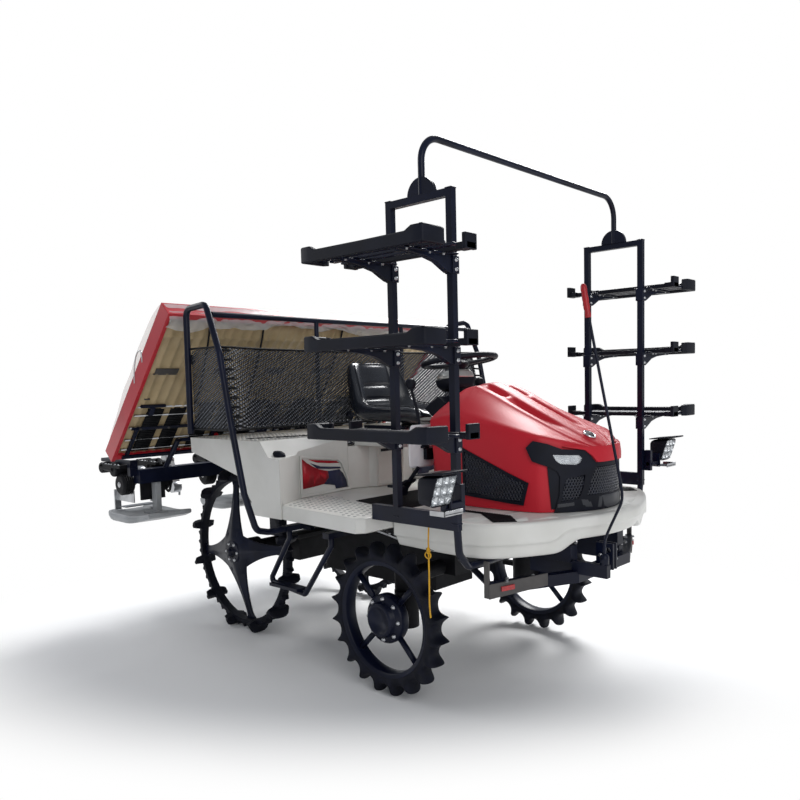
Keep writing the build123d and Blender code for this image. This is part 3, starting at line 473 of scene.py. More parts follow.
def bar(start, end, radius, sides=12):
    """Points and quads of a capped round bar."""
    a, b = Vector(start), Vector(end)
    long = (b - a).length
    return lathe([(0.01, 0), (radius, 0), (radius, long), (0.01, long)], start, b - a, sides)


def round_line(name, route, radius, smooth=True):
    """A round line along layout points, as a curve object."""
    curve = bpy.data.curves.new(name, "CURVE")
    curve.dimensions = "3D"
    curve.bevel_depth = radius / 1000
    curve.bevel_resolution = 4
    curve.use_fill_caps = True
    line = curve.splines.new("NURBS" if smooth else "POLY")
    line.points.add(len(route) - 1)
    for point, place in zip(line.points, route):
        point.co = (*at(*place), 1.0)
    if smooth:
        line.order_u = 3
        line.use_endpoint_u = True
    return bpy.data.objects.new(name, curve)


def tube(name, route, radius, finish, body, slot=None, smooth=True):
    """A round tube along layout points, dressed as a piece."""
    return dress(round_line(name, route, radius, smooth), finish, body, slot)


def both_sides(shape):
    """A shape and its mirror image across the machine."""
    points, faces = shape
    return joined([shape, ([(x, -y, z) for x, y, z in points], [tuple(reversed(f)) for f in faces])])


def bolt_circle(centre, axis, radius, count, size, start=0.0):
    """A ring of six-sided bolt heads with washers."""
    parts = []
    ahead = Vector(axis).normalized()
    over = Vector((1, 0, 0)) if abs(ahead.x) < 0.5 else Vector((0, 0, 1))
    out = ahead.cross(over)
    head = [(size * 1.25, 0), (size * 1.25, size * 0.25), (size, size * 0.25), (size, size * 0.95),
            (size * 0.7, size * 1.1), (0.01, size * 1.1)]
    for i in range(count):
        a = math.radians(start + 360 * i / count)
        spot = Vector(centre) + (over * math.cos(a) + out * math.sin(a)) * radius
        parts.append(lathe(head, spot, ahead, 6))
    return joined(parts)


def bolt(centre, axis, size):
    """One six-sided bolt head with its washer."""
    return bolt_circle(centre, axis, 0.0, 1, size)


# ================================================================ hood
# X, peak Z, crease Y and Z, shoulder Y and Z, foot Y
HOOD_ROWS = [
    (1244, 1244, 120, 1232, 285, 1148, 300), (1300, 1285, 138, 1266, 292, 1166, 303),
    (1380, 1302, 150, 1287, 300, 1178, 305), (1470, 1266, 152, 1252, 301, 1162, 305),
    (1560, 1218, 150, 1206, 300, 1140, 305), (1640, 1180, 149, 1170, 297, 1121, 304),
    (1728, 1140, 148, 1130, 292, 1100, 300), (1800, 1104, 140, 1096, 270, 1082, 278),
    (1860, 1074, 124, 1067, 214, 1062, 226), (1912, 1046, 84, 1040, 128, 1036, 140),
    (1946, 1024, 38, 1020, 58, 1014, 64)]
NOSE_PLAN = [(1244, -300), (1380, -305), (1560, -305), (1728, -300), (1800, -278), (1860, -226),
             (1912, -140), (1950, -60)]    # right half


def whole(half):
    """A plan line across the machine, from its right half."""
    return half + [(x, -y) for x, y in reversed(half)]


def rounded(line, times):
    """An open line whose corners are cut off at a quarter of each side, so many times."""
    for _ in range(times):
        cut = [line[0]]
        for (ax, ay), (bx, by) in zip(line, line[1:]):
            cut.append((ax * 0.75 + bx * 0.25, ay * 0.75 + by * 0.25))
            cut.append((ax * 0.25 + bx * 0.75, ay * 0.25 + by * 0.75))
        line = cut + [line[-1]]
    return line


class Wall:
    """An upright wall on a plan line, unrolled: s runs along it from its middle, lean tips it back."""

    def __init__(self, plan, lean, foot):
        self.line = plan
        self.lean = lean
        self.foot = foot
        self.run = [0.0]
        for a, b in zip(plan, plan[1:]):
            self.run.append(self.run[-1] + math.dist(a, b))
        self.middle = self.run[-1] / 2

    def place(self, s, z, out=0.0):
        """Layout point at s and z, stood off the wall by out."""
        want = min(max(s + self.middle, 0.0), self.run[-1])
        i = 0
        while i < len(self.line) - 2 and self.run[i + 1] < want:
            i += 1
        share = (want - self.run[i]) / (self.run[i + 1] - self.run[i])
        (ax, ay), (bx, by) = self.line[i], self.line[i + 1]
        nx, ny = by - ay, ax - bx
        size = math.hypot(nx, ny)
        push = out - self.lean * (z - self.foot)
        return (ax + (bx - ax) * share + nx / size * push, ay + (by - ay) * share + ny / size * push, z)

    def layer(self, out):
        """place(s, z) at one stand-off."""
        return lambda s, z: self.place(s, z, out)


HOOD_FOOT = 790
NOSE = Wall(rounded(whole(NOSE_PLAN), 2), 0.015, HOOD_FOOT)


def panel_mesh(outline, holes, step, place):
    """Flat outline with holes, cut into strips and laid on a surface by place(s, z)."""
    bm = bmesh.new()
    for loop in [outline] + list(holes):
        corners = [bm.verts.new((s, z, 0)) for s, z in loop]
        for a, b in zip(corners, corners[1:] + corners[:1]):
            bm.edges.new((a, b))
    bmesh.ops.triangle_fill(bm, use_beauty=True, edges=bm.edges[:])
    low = min(s for s, z in outline)
    high = max(s for s, z in outline)
    cuts = int((high - low) / step)
    for i in range(1, cuts + 1):
        bmesh.ops.bisect_plane(bm, geom=bm.verts[:] + bm.edges[:] + bm.faces[:], dist=0.001,
                               plane_co=(low + i * step, 0, 0), plane_no=(1, 0, 0))
    bmesh.ops.join_triangles(bm, faces=bm.faces[:], angle_face_threshold=3, angle_shape_threshold=3)
    bm.verts.index_update()
    points = [place(v.co.x, v.co.y) for v in bm.verts]
    faces = [tuple(v.index for v in f.verts) for f in bm.faces]
    bm.free()
    return points, faces


def inside(point, outline):
    """True where a flat point is within an outline."""
    x, y = point
    crossings = False
    for (ax, ay), (bx, by) in zip(outline, outline[1:] + outline[:1]):
        if (ay > y) != (by > y) and x < (bx - ax) * (y - ay) / (by - ay) + ax:
            crossings = not crossings
    return crossings


def honeycomb(outline, pitch, web, place, deep):
    """Six-sided mesh cells that fill an outline, each a raised rim round a hole."""
    corner = pitch * 0.577         # from a cell's middle to its corners
    rise = pitch * 0.866           # from one row of cells to the next
    low_s, high_s = min(s for s, z in outline), max(s for s, z in outline)
    low_z, high_z = min(z for s, z in outline), max(z for s, z in outline)
    parts = []
    row = 0
    z = low_z
    while z < high_z:
        s = low_s + (pitch / 2 if row % 2 else 0)
        while s < high_s:
            if inside((s, z), outline):
                rims = []
                for size, out in ((corner, -deep), (corner, 0.0), (corner - web, 0.0),
                                  (corner - web * 1.3, -deep)):
                    rims.append([place(s + size * math.cos(math.radians(30 + 60 * k)),
                                       z + size * math.sin(math.radians(30 + 60 * k)), out)
                                 for k in range(6)])
                parts.append(grid(rims, closed=True))
            s += pitch
        z += rise
        row += 1
    return joined(parts)


def hood_row(x, peak, cy, cz, sy, sz, fy, sunk):
    """Right half section of the hood skin from the middle to the foot; sunk lowers the scoop's floor."""
    fit = min(1.0, cy / 146)
    flat = [(0, peak + 2), (38, peak + 1), (52, peak - 7), (60, peak - 9 - sunk), (94, peak - 12 - sunk),
            (103, peak - 9), (cy / fit - 8, cz + 3)]
    row = [(x, y * fit, z) for y, z in flat]
    row += [(x, cy + 6, cz - 6), (x, (cy + sy) / 2, (cz + sz) / 2 + 7), (x, sy - 8, sz + 3),
            (x, sy + 1, sz - 12), (x, (sy + fy) / 2 + 1, (sz + HOOD_FOOT) / 2), (x, fy, 800), (x, fy, 787)]
    return row


def hood_at(x):
    """Hood section values at any X, between the table's rows."""
    for a, b in zip(HOOD_ROWS, HOOD_ROWS[1:]):
        if a[0] <= x <= b[0]:
            t = (x - a[0]) / (b[0] - a[0])
            return [p + (q - p) * t for p, q in zip(a, b)]
    return list(HOOD_ROWS[-1])


def flipped(loop):
    """An outline on the nose wall, mirrored about the middle."""
    return [(-s, z) for s, z in reversed(loop)]


def build_hood():
    """Red skin with two long scoops, creased at the shoulders and round its openings."""
    # X of each row, and how far the scoops are sunk there
    stations = [(1244, 0), (1290, 0), (1340, 0), (1392, 0), (1400, 20), (1450, 24), (1496, 16), (1504, 0),
                (1524, 0), (1532, 18), (1600, 24), (1680, 20), (1750, 10), (1782, 0), (1800, 0), (1830, 0),
                (1860, 0), (1888, 0), (1912, 0), (1932, 0), (1946, 0)]
    rows = []
    for x, sunk in stations:
        half = hood_row(*hood_at(x), sunk)
        rows.append([(px, -py, pz) for px, py, pz in reversed(half[1:])] + half)
    # the rear edge leans forward towards the foot
    for j, (px, py, pz) in enumerate(rows[0]):
        rows[0][j] = (px + max(0.0, 1130 - pz) * 0.16, py, pz)
    wide = len(rows[0])
    rows.append([(1947, y * 0.9, z) for x, y, z in rows[-1]])
    points, faces = grid(rows)
    middle = wide // 2
    creases = []
    for i in range(len(rows) - 1):
        for side in (-1, 1):
            for column, amount in ((6, 0.35), (7, 0.35), (9, 0.5), (10, 0.5)):
                j = middle + side * column
                creases.append((i * wide + j, (i + 1) * wide + j, amount))
    for i in (0, len(rows) - 2, len(rows) - 1):
        for j in range(wide - 1):
            creases.append((i * wide + j, i * wide + j + 1, 0.7))
    last = (len(rows) - 1) * wide
    for j in range(middle):
        faces.append((last + j, last + j + 1, last + wide - 2 - j, last + wide - 1 - j))
    piece("hood_skin", (points, faces), RED_ABS, "hood", "red_panel", ("hood_shell",), rounding=2,
          creases=creases)


def build_nose():
    """Black mask with its openings and a black sheet behind them for the shade inside, mesh grilles,
    headlamps, the red lip over them, chin and badge.
    """
    # outlines on the nose, unrolled: s from its middle, and Z
    mask = [(-375, 1041), (-349, 1068), (-293, 1056), (-237, 1034), (-142, 1026), (-60, 1010), (60, 1010),
            (142, 1026), (237, 1034), (293, 1056), (349, 1068), (375, 1041), (352, 988), (284, 964),
            (257, 948), (246, 925), (250, 855), (270, 787), (-270, 787), (-250, 855), (-246, 925),
            (-257, 948), (-284, 964), (-352, 988)]
    lamp = [(-274, 1013), (-262, 990), (-244, 977), (-182, 971), (-166, 977), (-154, 996), (-168, 1008)]
    corner = [(-222, 918), (-140, 930), (-150, 880), (-168, 838), (-244, 828), (-234, 880)]
    middle_hole = [(-92, 958), (92, 958), (118, 900), (134, 848), (-134, 848), (-118, 900)]
    holes = [lamp, flipped(lamp), corner, flipped(corner), middle_hole]
    shape = panel_mesh(mask, holes, 14.0, lambda s, z: NOSE.place(s, z, 10.0 + 3 * math.sin(s / 90) ** 2))
    piece("nose_mask", shape, BLACK_PP, "hood", "black_plastic", ("front_mask",), thick=8, ease=2.5)
    # painted shade: a black sheet behind the mask's openings, standing for the shaded hollow inside the nose
    shaded_hollow = [(-300, 1030), (300, 1030), (280, 800), (-280, 800)]
    piece("nose_painted_shade_sheet", panel_mesh(shaded_hollow, [], 14.0, NOSE.layer(4.5)), BLACK_PP, "hood", "black_plastic")
    cells = [honeycomb(loop, 13.0, 2.6, lambda s, z, out: NOSE.place(s, z, 10.0 + out), 5.0)
             for loop in (corner, flipped(corner), middle_hole)]
    piece("nose_grilles", joined(cells), MESH_BLACK, "hood", "black_plastic")
    for side, loop in (("right", lamp), ("left", flipped(lamp))):
        piece(f"headlamp_reflector_{side}", panel_mesh(loop, [], 9.0, NOSE.layer(8.0)), CHROME, "hood",
              "bright_steel")
        piece(f"headlamp_lens_{side}", panel_mesh(loop, [], 9.0, NOSE.layer(14.0)), LENS, "hood", "film",
              thick=2.0)
    # red lip of the hood over the middle of the mask
    visor = [(-235, 1044), (-120, 1040), (120, 1040), (235, 1044), (142, 1027), (112, 1003), (90, 977),
             (-90, 977), (-112, 1003), (-142, 1027)]

    def lip(s, z):
        return NOSE.place(s, z, 22.0 - max(0, z - 1000) * 0.12 - max(0, abs(s) - 120) * 0.06)

    shape = panel_mesh(visor, [], 14.0, lip)
    piece("nose_lip", shape, RED_ABS, "hood", "red_panel", thick=16, ease=5)
    chin = [(-166, 838), (-60, 842), (60, 842), (166, 838), (174, 794), (90, 789), (-90, 789), (-174, 794)]
    shape = panel_mesh(chin, [], 14.0, lambda s, z: NOSE.place(s, z, 16.0 - abs(z - 818) * 0.2))
    piece("nose_chin", shape, GREY_TRIM, "hood", "black_plastic", thick=10, ease=4)
    trims = []
    for sign in (-1, 1):
        loop = [(sign * s, z) for s, z in ((-258, 820), (-190, 825), (-190, 811), (-259, 806))]
        trims.append(panel_mesh(loop, [], 20.0, NOSE.layer(13.0)))
    piece("nose_trims", joined(trims), GREY_TRIM, "hood", "black_plastic", thick=4, ease=1)
    shape = lathe([(20, 5), (24, 7), (27, 6), (29, 2), (29, -5)], (1862, 0, 1076), (0.48, 0, 0.88), 40)
    piece("nose_badge", shape, CHROME, "hood", "bright_steel", thick=1)
    shape = lathe([(0.01, 5.5), (14, 5), (21, 4), (21, -4)], (1862, 0, 1076), (0.48, 0, 0.88), 40)
    piece("badge_centre", shape, BLACK_PP, "hood", "black_plastic")


def build_side_grilles():
    """Mesh grilles low on the hood's flanks: rim, cells and, behind them, a black sheet painted in for the
    shade inside the hood.
    """
    side_frame = [(-690, 1030), (-368, 902), (-390, 812), (-684, 832)]
    side_hole = [(-680, 1016), (-380, 897), (-398, 823), (-674, 842)]
    for side, sign in SIDES:
        loops = [[(-s * sign, z) for s, z in loop] for loop in (side_frame, side_hole)]
        piece(f"side_grille_rim_{side}", panel_mesh(loops[0], [loops[1]], 30.0, NOSE.layer(7.0)), BLACK_PP,
              "hood", "black_plastic", thick=7, ease=2)
        shape = honeycomb(loops[1], 15.0, 3.0, lambda s, z, out: NOSE.place(s, z, 5.5 + out), 5.0)
        piece(f"side_grille_cells_{side}", shape, MESH_BLACK, "hood", "black_plastic")
        # painted shade: a black sheet that stands for the dark hollow behind the grille cells
        back = piece(f"side_grille_painted_shade_{side}", panel_mesh(loops[1], [], 30.0, NOSE.layer(1.8)), BLACK_PP,
                     "hood", "black_plastic")
        if side == "right":
            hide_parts("side_grilles")


# ================================================================ walkway and decks
SKIRT_PLAN = [(1318, -600), (1560, -620), (1760, -608), (1850, -520), (1935, -370), (1998, -210),
              (2040, -80)]                 # right half
SKIRT = Wall(rounded(whole(SKIRT_PLAN), 2), 0.0, DECK_TOP)


def build_skirt():
    """White walkway round the hood: rolled top edge, brow line, two hanging lobes."""
    count = 96
    reach = SKIRT.middle
    rows = []
    for i in range(count + 1):
        s = -reach + 2 * reach * i / count
        a = abs(s)
        dip = min(1.0, max(0.0, (a - 250) / 120))          # lobes hang either side of the hitch
        brow = 742 - 38 * min(1.0, max(0.0, (a - 330) / 60)) if a < 620 else 704 - (a - 620) * 0.02
        foot = 692 - 44 * dip * dip * (3 - 2 * dip)
        row = []
        for z, out in ((778, -90), (785, -60), (785, -14), (783, -6), (777, -1), (768, 0), (brow + 7, 1),
                       (brow + 1, 0), (brow - 3, -13), (foot + 22, -19), (foot + 8, -25), (foot, -34),
                       (foot + 2, -60)):
            row.append(SKIRT.place(s, z, out))
        rows.append(row)
    piece("walkway_rim", grid(rows), WHITE_ABS, "chassis", "white_panel", rounding=1)
    plan = [SKIRT.place(-reach + 2 * reach * i / 60, 780, -30)[:2] for i in range(61)]
    plan += [(1319, 190), (1735, 190), (1735, -190), (1319, -190)]
    piece("walkway_top", panel_mesh(plan, [], 60.0, lambda x, y: (x, y, 784.6)), WHITE_ABS, "chassis",
          "white_panel", ("front_skirt",), thick=5)


# ================================================================ wheels
# share of a lug's pitch, and how far it has grown there from the valley to the full claw
LUG_STEPS = [(0.0, 0.0), (0.13, 0.05), (0.25, 0.17), (0.34, 0.36), (0.42, 0.64), (0.47, 0.87), (0.5, 1.0),
             (0.54, 0.9), (0.6, 0.62), (0.68, 0.32), (0.77, 0.12), (0.88, 0.02)]
# half sections of the tyre, (Y, radius), between two lugs and on one
VALLEY = [(-29, 243), (-35, 250), (-38, 262), (-34, 274), (-17, 279), (0, 280)]
CLAW = [(-29, 243), (-38, 254), (-46, 276), (-48, 306), (-30, 323), (0, 328)]


def lug_tyre(x, y, z):
    """Rubber ring whose section swells into a claw at each lug, swept back towards the shoulders."""
    rows = []
    for lug in range(LUGS):
        for share, height in LUG_STEPS:
            section = []
            for (vy, vr), (cy, cr) in zip(VALLEY, CLAW):
                section.append((vy + (cy - vy) * height, vr + (cr - vr) * height))
            section += [(-sy, sr) for sy, sr in reversed(section[:-1])]
            row = []
            for sy, sr in section:
                sweep = 2.2 * math.cos(math.pi * sy / 96) * height
                a = math.radians(-90 + 360 / LUGS * (lug + share) + sweep)
                row.append((x + sr * math.cos(a), y + sy, z + sr * math.sin(a)))
            rows.append(row)
    return grid(rows + [rows[0]])


def build_front_wheels():
    """Claw tyres on pressed rims with four round spokes and a bolted hub."""
    for side, out in SIDES:
        y = out * FRONT_HALF_TRACK
        middle = (WHEELBASE, y, FRONT_Z)
        piece(f"claw_tyre_{side}", lug_tyre(*middle), TYRE, f"front_wheel_{side}", "tyre",
              (f"front_tyre_{side}",), rounding=1)
        flange = [(229, -31), (243, -31), (246, -33), (248, -30), (244, -27), (237, -24), (232, 0),
                  (237, 24), (244, 27), (248, 30), (246, 33), (243, 31), (229, 31), (226, 24), (224, 0),
                  (226, -24), (229, -31)]
        parts = [lathe(flange, middle, (0, out, 0), 72)]
        hub = [(0.01, -26), (100, -26), (104, -20), (104, 14), (98, 22), (78, 26), (74, 30), (72, 46),
               (66, 52), (56, 54), (54, 49), (0.01, 49)]
        parts.append(lathe(hub, middle, (0, out, 0), 56))
        for i in range(4):
            a = math.radians(45 + 90 * i)
            root, tip = [(WHEELBASE + r * math.cos(a), y, FRONT_Z + r * math.sin(a)) for r in (92, 228)]
            parts.append(bar(root, tip, 12.5, 14))
        piece(f"pressed_rim_{side}", joined(parts), BLACK_COAT, f"front_wheel_{side}", "cast_black",
              (f"front_rim_{side}",))
        shape = bolt_circle((WHEELBASE, y + out * 24, FRONT_Z), (0, out, 0), 86, 8, 8)
        piece(f"hub_bolts_{side}", shape, ZINC, f"front_wheel_{side}", "bright_steel")


def build_rear_wheels():
    """Narrow rubber rings with leaf-shaped paddles, small teeth between them, and the axle's ends."""
    pitch = 360 / PADDLES
    for side, out in SIDES:
        y = out * REAR_HALF_TRACK
        tread = [(374, -23), (388, -24), (399, -20), (402, -10), (403, 0), (402, 10), (399, 20), (388, 24),
                 (374, 23), (371, 0), (374, -23)]
        parts = [lathe(tread, (0, y, REAR_Z), (0, 1, 0), 96)]
        for i in range(PADDLES):
            a = -90 + pitch * (i + 0.5)
            parts.append(paddle(y, a))
            for step in (-7.5, 0.0, 7.5):
                parts.append(nib(y, a + pitch / 2 + step))
        piece(f"paddle_ring_{side}", joined(parts), TYRE, f"rear_wheel_{side}", "tyre",
              (f"rear_wheel_ring_{side}",), ease=2)
        piece(f"disc_bolts_{side}", bolt_circle((0, y + out * 70, REAR_Z), (0, out, 0), 46, 6, 8), ZINC,
              f"rear_wheel_{side}", "bright_steel")
        end = [(0.01, 96), (17, 96), (20, 92), (20, 70), (26, 70), (26, 66)]
        shape = lathe(end, (0, y, REAR_Z), (0, out, 0), 24)
        piece(f"axle_end_{side}", shape, BLACK_COAT, f"rear_wheel_{side}", "cast_black")


def on_wheel(y, r, t, degrees):
    """Layout point on a rear wheel: radius r and then t along the turn, at an angle round the axle."""
    a = math.radians(degrees)
    return (r * math.cos(a) - t * math.sin(a), y, REAR_Z + r * math.sin(a) + t * math.cos(a))


def paddle(y, degrees):
    """One leaf-shaped rubber paddle, cupped, thickest at its root."""
    rows = []
    for k in range(9):
        across = -62 + 124 * k / 8
        w = abs(across) / 62
        tip = REAR_RADIUS - 34 * w ** 4
        root = 378 + 10 * w ** 2
        cup = 10 * w ** 2
        thick = 26 - 10 * w ** 2
        section = [(root, -thick), (root, thick), ((root + tip) / 2, thick * 0.75 + cup), (tip - 4, 7 + cup),
                   (tip, cup), (tip - 5, -7 + cup), ((root + tip) / 2, -thick * 0.6 + cup)]
        rows.append([on_wheel(y + across, r, t, degrees) for r, t in section])
    return solid(rows)


def nib(y, degrees):
    """One small tooth between two paddles."""
    foot = 394
    rows = []
    for across, high in ((-22, 404), (-16, 420), (16, 420), (22, 404)):
        waist = (foot + high) / 2 + 3
        section = [(foot, -15), (foot, 15), (waist, 8), (high, 0), (waist, -8)]
        rows.append([on_wheel(y + across, r, t, degrees) for r, t in section])
    return solid(rows)


# ================================================================ guard net and film
def leg_x(z):
    """X of the hoop's sloping front leg at a height."""
    return 650 + (590 - 650) * (z - 1160) / 290


NET_FOOT, NET_HIGH = 1117, 360


def build_net():
    """Knitted shade net, laced to both hoops and stretched across behind the seat."""
    rows = []
    levels = 14
    for i in range(levels + 1):
        t = i / levels
        z = NET_FOOT + NET_HIGH * t
        lean = leg_x(z) - 24
        plan = [(338, -884), (420, -885), (lean - 30, -885), (lean, -878), (lean + 3, -862)]
        count = 40
        for k in range(count + 1):
            y = -845 + 1690 * k / count
            near = max(0.0, (abs(y) - 700) / 145)
            x = 534 + (lean + 2 - 534) * near ** 1.6
            x += 3.0 * math.sin(y / 83 + 4 * t) * math.sin(math.pi * t)
            plan.append((x, y))
        plan += [(lean + 3, 862), (lean, 878), (lean - 30, 885), (420, 885), (338, 884)]
        rows.append([(x, y, z - (5 * math.cos(y / 150) ** 2 if t in (0.0, 1.0) else 0)) for x, y in plan])
    net = piece("shade_net", grid(rows), NET, "chassis", "net", ("guard_net",), rounding=1)


TABLE_FOOT = (-375.0, 970.0)
TABLE_HEAD = (244.0, 1653.0)
TABLE_LONG = math.dist(TABLE_FOOT, TABLE_HEAD)
TABLE_STEPS = ((338, 352), (566, 580), (786, 800))     # raised bands across the underside
FILM_WIDE = 1888.0


def on_table(u, y, n):
    """Layout point at u up the seedling table, y across it and n off its seedling side."""
    ux, uz = ((TABLE_HEAD[0] - TABLE_FOOT[0]) / TABLE_LONG, (TABLE_HEAD[1] - TABLE_FOOT[1]) / TABLE_LONG)
    return (TABLE_FOOT[0] + ux * u - uz * n, y, TABLE_FOOT[1] + uz * u + ux * n)


def table_block(u0, u1, y0, y1, n0, n1):
    """A box laid along the table."""
    return [on_table(u, y, n) for u in (u0, u1) for y in (y0, y1) for n in (n0, n1)], BOX_FACES


def build_table():
    """Beige corrugated underside with its steps, ribs and rods."""
    half = 929.0
    section = []
    y = -half
    while y < half:
        section += [(y, -10), (min(y + 34, half), -10), (min(y + 39, half), -15), (min(y + 49, half), -15)]
        y += 54
    section.append((half, -10))
    rows = []
    for u in (22, 60, 330, 338, 352, 360, 560, 566, 580, 586, 780, 786, 800, 806, TABLE_LONG - 24):
        step = 6 if any(low <= u <= high for low, high in TABLE_STEPS) else 0
        rows.append([on_table(u, sy, sn - step) for sy, sn in section])
    piece("table_underside", grid(rows), BEIGE_PP, "seedling_table", "table_plastic", ("table_panel",),
          thick=4)
    ribs = []
    for i in range(7):
        y = ROW_PITCH * (i - 3)
        ribs.append(table_block(30, TABLE_LONG - 60, y - 7, y + 7, -6, 40))
    piece("table_ribs", joined(ribs), BEIGE_PP, "seedling_table", "table_plastic", ease=2)

    rods = []
    for u in (52, 120, 205, 290, 348):
        rods.append(bar(on_table(u, -915, -20), on_table(u, 915, -20), 5.5, 10))
    piece("table_rods", joined(rods), ZINC, "seedling_table", "bright_steel")


def build_belts():
    """Two ribbed feed belts to each row, at the table's foot."""
    belts = []
    for i in range(6):
        middle = ROW_PITCH * (i - 2.5)
        for s in (-62, 62):
            ring = []
            for u, n in ([(40 + 290 * k / 24, -12) for k in range(25)] + [(336, -18)]
                         + [(330 - 290 * k / 24, -24) for k in range(25)] + [(34, -18)]):
                ring.append([on_table(u, middle + s - 45, n), on_table(u, middle + s + 45, n)])
            belts.append(grid(ring + [ring[0]]))
            for k in range(24):
                u = 46 + 12 * k
                belts.append(table_block(u, u + 5, middle + s - 43, middle + s + 43, -28, -24))
    piece("ribbed_belts", joined(belts), BELT, "seedling_table", "belt_rubber", ("feed_belts",))


def build_film():
    """Loose film over the seedling side, bellied and wrinkled, turned down over the top edge."""
    rows = []
    for i in range(33):
        t = i / 32             # share of the way up the table
        u = 40 + (TABLE_LONG + 2 - 40) * t
        row = []
        for j in range(61):
            w = j / 60         # and across it
            y = FILM_WIDE * (w - 0.5)
            belly = 46 * math.sin(math.pi * (1 - t) ** 0.7) * (0.75 + 0.25 * math.sin(7 * w + 2))
            wrinkle = (3.2 * math.sin(31 * w + 9 * t) + 2.2 * math.sin(53 * w - 14 * t)
                       + 1.6 * math.sin(95 * w + 23 * t) + 2.5 * math.sin(22 * t + 5 * math.sin(6 * w)))
            row.append(on_table(u, y, 56 + belly + wrinkle * (0.4 + 0.6 * math.sin(math.pi * t))))
        rows.append(row)
    rows.append([on_table(TABLE_LONG + 14, FILM_WIDE * (j / 60 - 0.5), 40 + 2 * math.sin(j))
                 for j in range(61)])
    rows.append([on_table(TABLE_LONG + 12, FILM_WIDE * (j / 60 - 0.5), 6 + 6 * math.sin(j * 0.7))
                 for j in range(61)])
    film = piece("loose_film", grid(rows), FILM, "seedling_table", "film", ("film_cover",), rounding=1)


# ================================================================ racks
def ribbon(path, section_at):
    """A section carried along a plan path; section_at(i) lists (out, z) round its edge."""
    rows = []
    for i, (x, y) in enumerate(path):
        ax, ay = path[max(i - 1, 0)]
        bx, by = path[min(i + 1, len(path) - 1)]
        size = math.hypot(bx - ax, by - ay)
        nx, ny = (by - ay) / size, (ax - bx) / size
        rows.append([(x + nx * out, y + ny * out, z) for out, z in section_at(i)])
    return solid(rows)


def outer_rail(z):
    """Moulded channel whose raised ends wrap round the tray's corners."""
    path = [(1322, -900), (1303, -912), (1300, -930), (1300, -1004), (1303, -1014), (1312, -1018),
            (1348, -1018), (1362, -1018), (1374, -1018), (1600, -1018), (1806, -1018), (1820, -1018),
            (1834, -1018), (1873, -1018), (1882, -1014), (1885, -1004), (1885, -930), (1882, -912),
            (1863, -900)]
    lump = [13, 14, 15, 15, 15, 15, 15, 8, 1, 0, 1, 8, 15, 15, 15, 15, 15, 14, 13]

    def section(i):
        top = z + 20 + lump[i]
        return [(0, z - 18), (0, top - 4), (-4, top), (-22, top), (-26, top - 4), (-26, z - 14),
                (-20, z - 20), (-4, z - 20)]
    return ribbon(path, section)


def inner_rail(z):
    """Lower rail with an upturned lip at each end."""
    parts = [box(1306, 1880, -794, -768, z - 16, z + 3)]
    for lip, step in (((1300, 1316), (1300, 1350)), ((1869, 1885), (1835, 1885))):
        parts.append(box(*lip, -812, -752, z - 18, z + 34))
        parts.append(box(*step, -806, -758, z - 17, z + 6))
    return joined(parts)


# a slat's section, in half widths and half heights
SLAT_SECTION = [(-1, -0.3), (-0.9, -1), (0.9, -1), (1, -0.3), (0.8, 0.7), (0, 1), (-0.8, 0.7)]


def build_racks():
    """Tray rails, broad slats, curved gussets and their bolts, on both sides."""
    rails, slats, arms, bolts = [], [], [], []
    for z in SHELVES_Z:
        rails += [outer_rail(z), inner_rail(z)]
        for y in (-838, -893, -948):
            rows = []
            for x, grow in ((1326, 0.7), (1332, 1.0), (1856, 1.0), (1862, 0.7)):
                rows.append([(x, y + 15 * grow * c, z - 4 + 6 * grow * s) for c, s in SLAT_SECTION])
            slats.append(solid(rows))
        for x in POSTS_X:
            # the gusset from the side, curved under the arm, and from above
            web = [(-721, z - 74), (-721, z - 12), (-992, z - 12), (-992, z - 22), (-930, z - 25),
                   (-860, z - 31), (-800, z - 44), (-756, z - 66), (-738, z - 74)]
            arms.append(solid([[(x + dx, y, zz) for y, zz in web] for dx in (-13, 13)]))
            plan = [(x - 44, -722), (x + 44, -722), (x + 30, -790), (x + 20, -850), (x + 20, -996),
                    (x - 20, -996), (x - 20, -850), (x - 30, -790)]
            arms.append(plate(plan, z - 17, z - 11))
            arms.append(box(x - 19, x + 19, -724, -690, z - 76, z - 16))
            for dx in (-1, 1):
                for y, zz in ((-700, z - 30), (-700, z - 62)):
                    bolts.append(bolt((x + 19 * dx, y - 8, zz), (dx, 0, 0), 6))
                for y in (-838, -948):
                    bolts.append(bolt((x + 14 * dx, y, z - 17), (0, 0, -1), 4.5))
                bolts.append(bolt((x + 26 * dx, -782, z - 17), (0, 0, -1), 5.5))
    for name, group, finish, slot, ease, stands in (
            ("tray_rails", rails, BLACK_PP, "black_plastic", 3, ("rack_shelves",)),
            ("tray_slats", slats, BLACK_COAT, "black_steel", 2, ()),
            ("tray_arms", arms, BLACK_COAT, "black_steel", 2, ()),
            ("tray_bolts", bolts, ZINC, "bright_steel", 0, ())):
        piece(name, both_sides(joined(group)), finish, "chassis", slot, stands, ease=ease)
    caps = []
    for x in POSTS_X:
        caps.append(box(x - 15, x + 15, -723, -693, 1962, 1967))
        caps.append(box(x - 15, x + 15, -723, -693, 800, 806))
    arc = [math.radians(10 * k) for k in range(19)]
    caps.append(solid([[(1600 + 64 * math.cos(a), y, 1964 + 64 * math.sin(a)) for a in arc]
                       for y in (-710, -690)]))
    piece("post_caps", both_sides(joined(caps)), BLACK_COAT, "chassis", "black_steel", ease=2)


# ================================================================ work lamps
def lamp_front(z):
    """X of a work lamp's front face, which leans forward at the top."""
    return 1794 + (z - 888) * 0.34


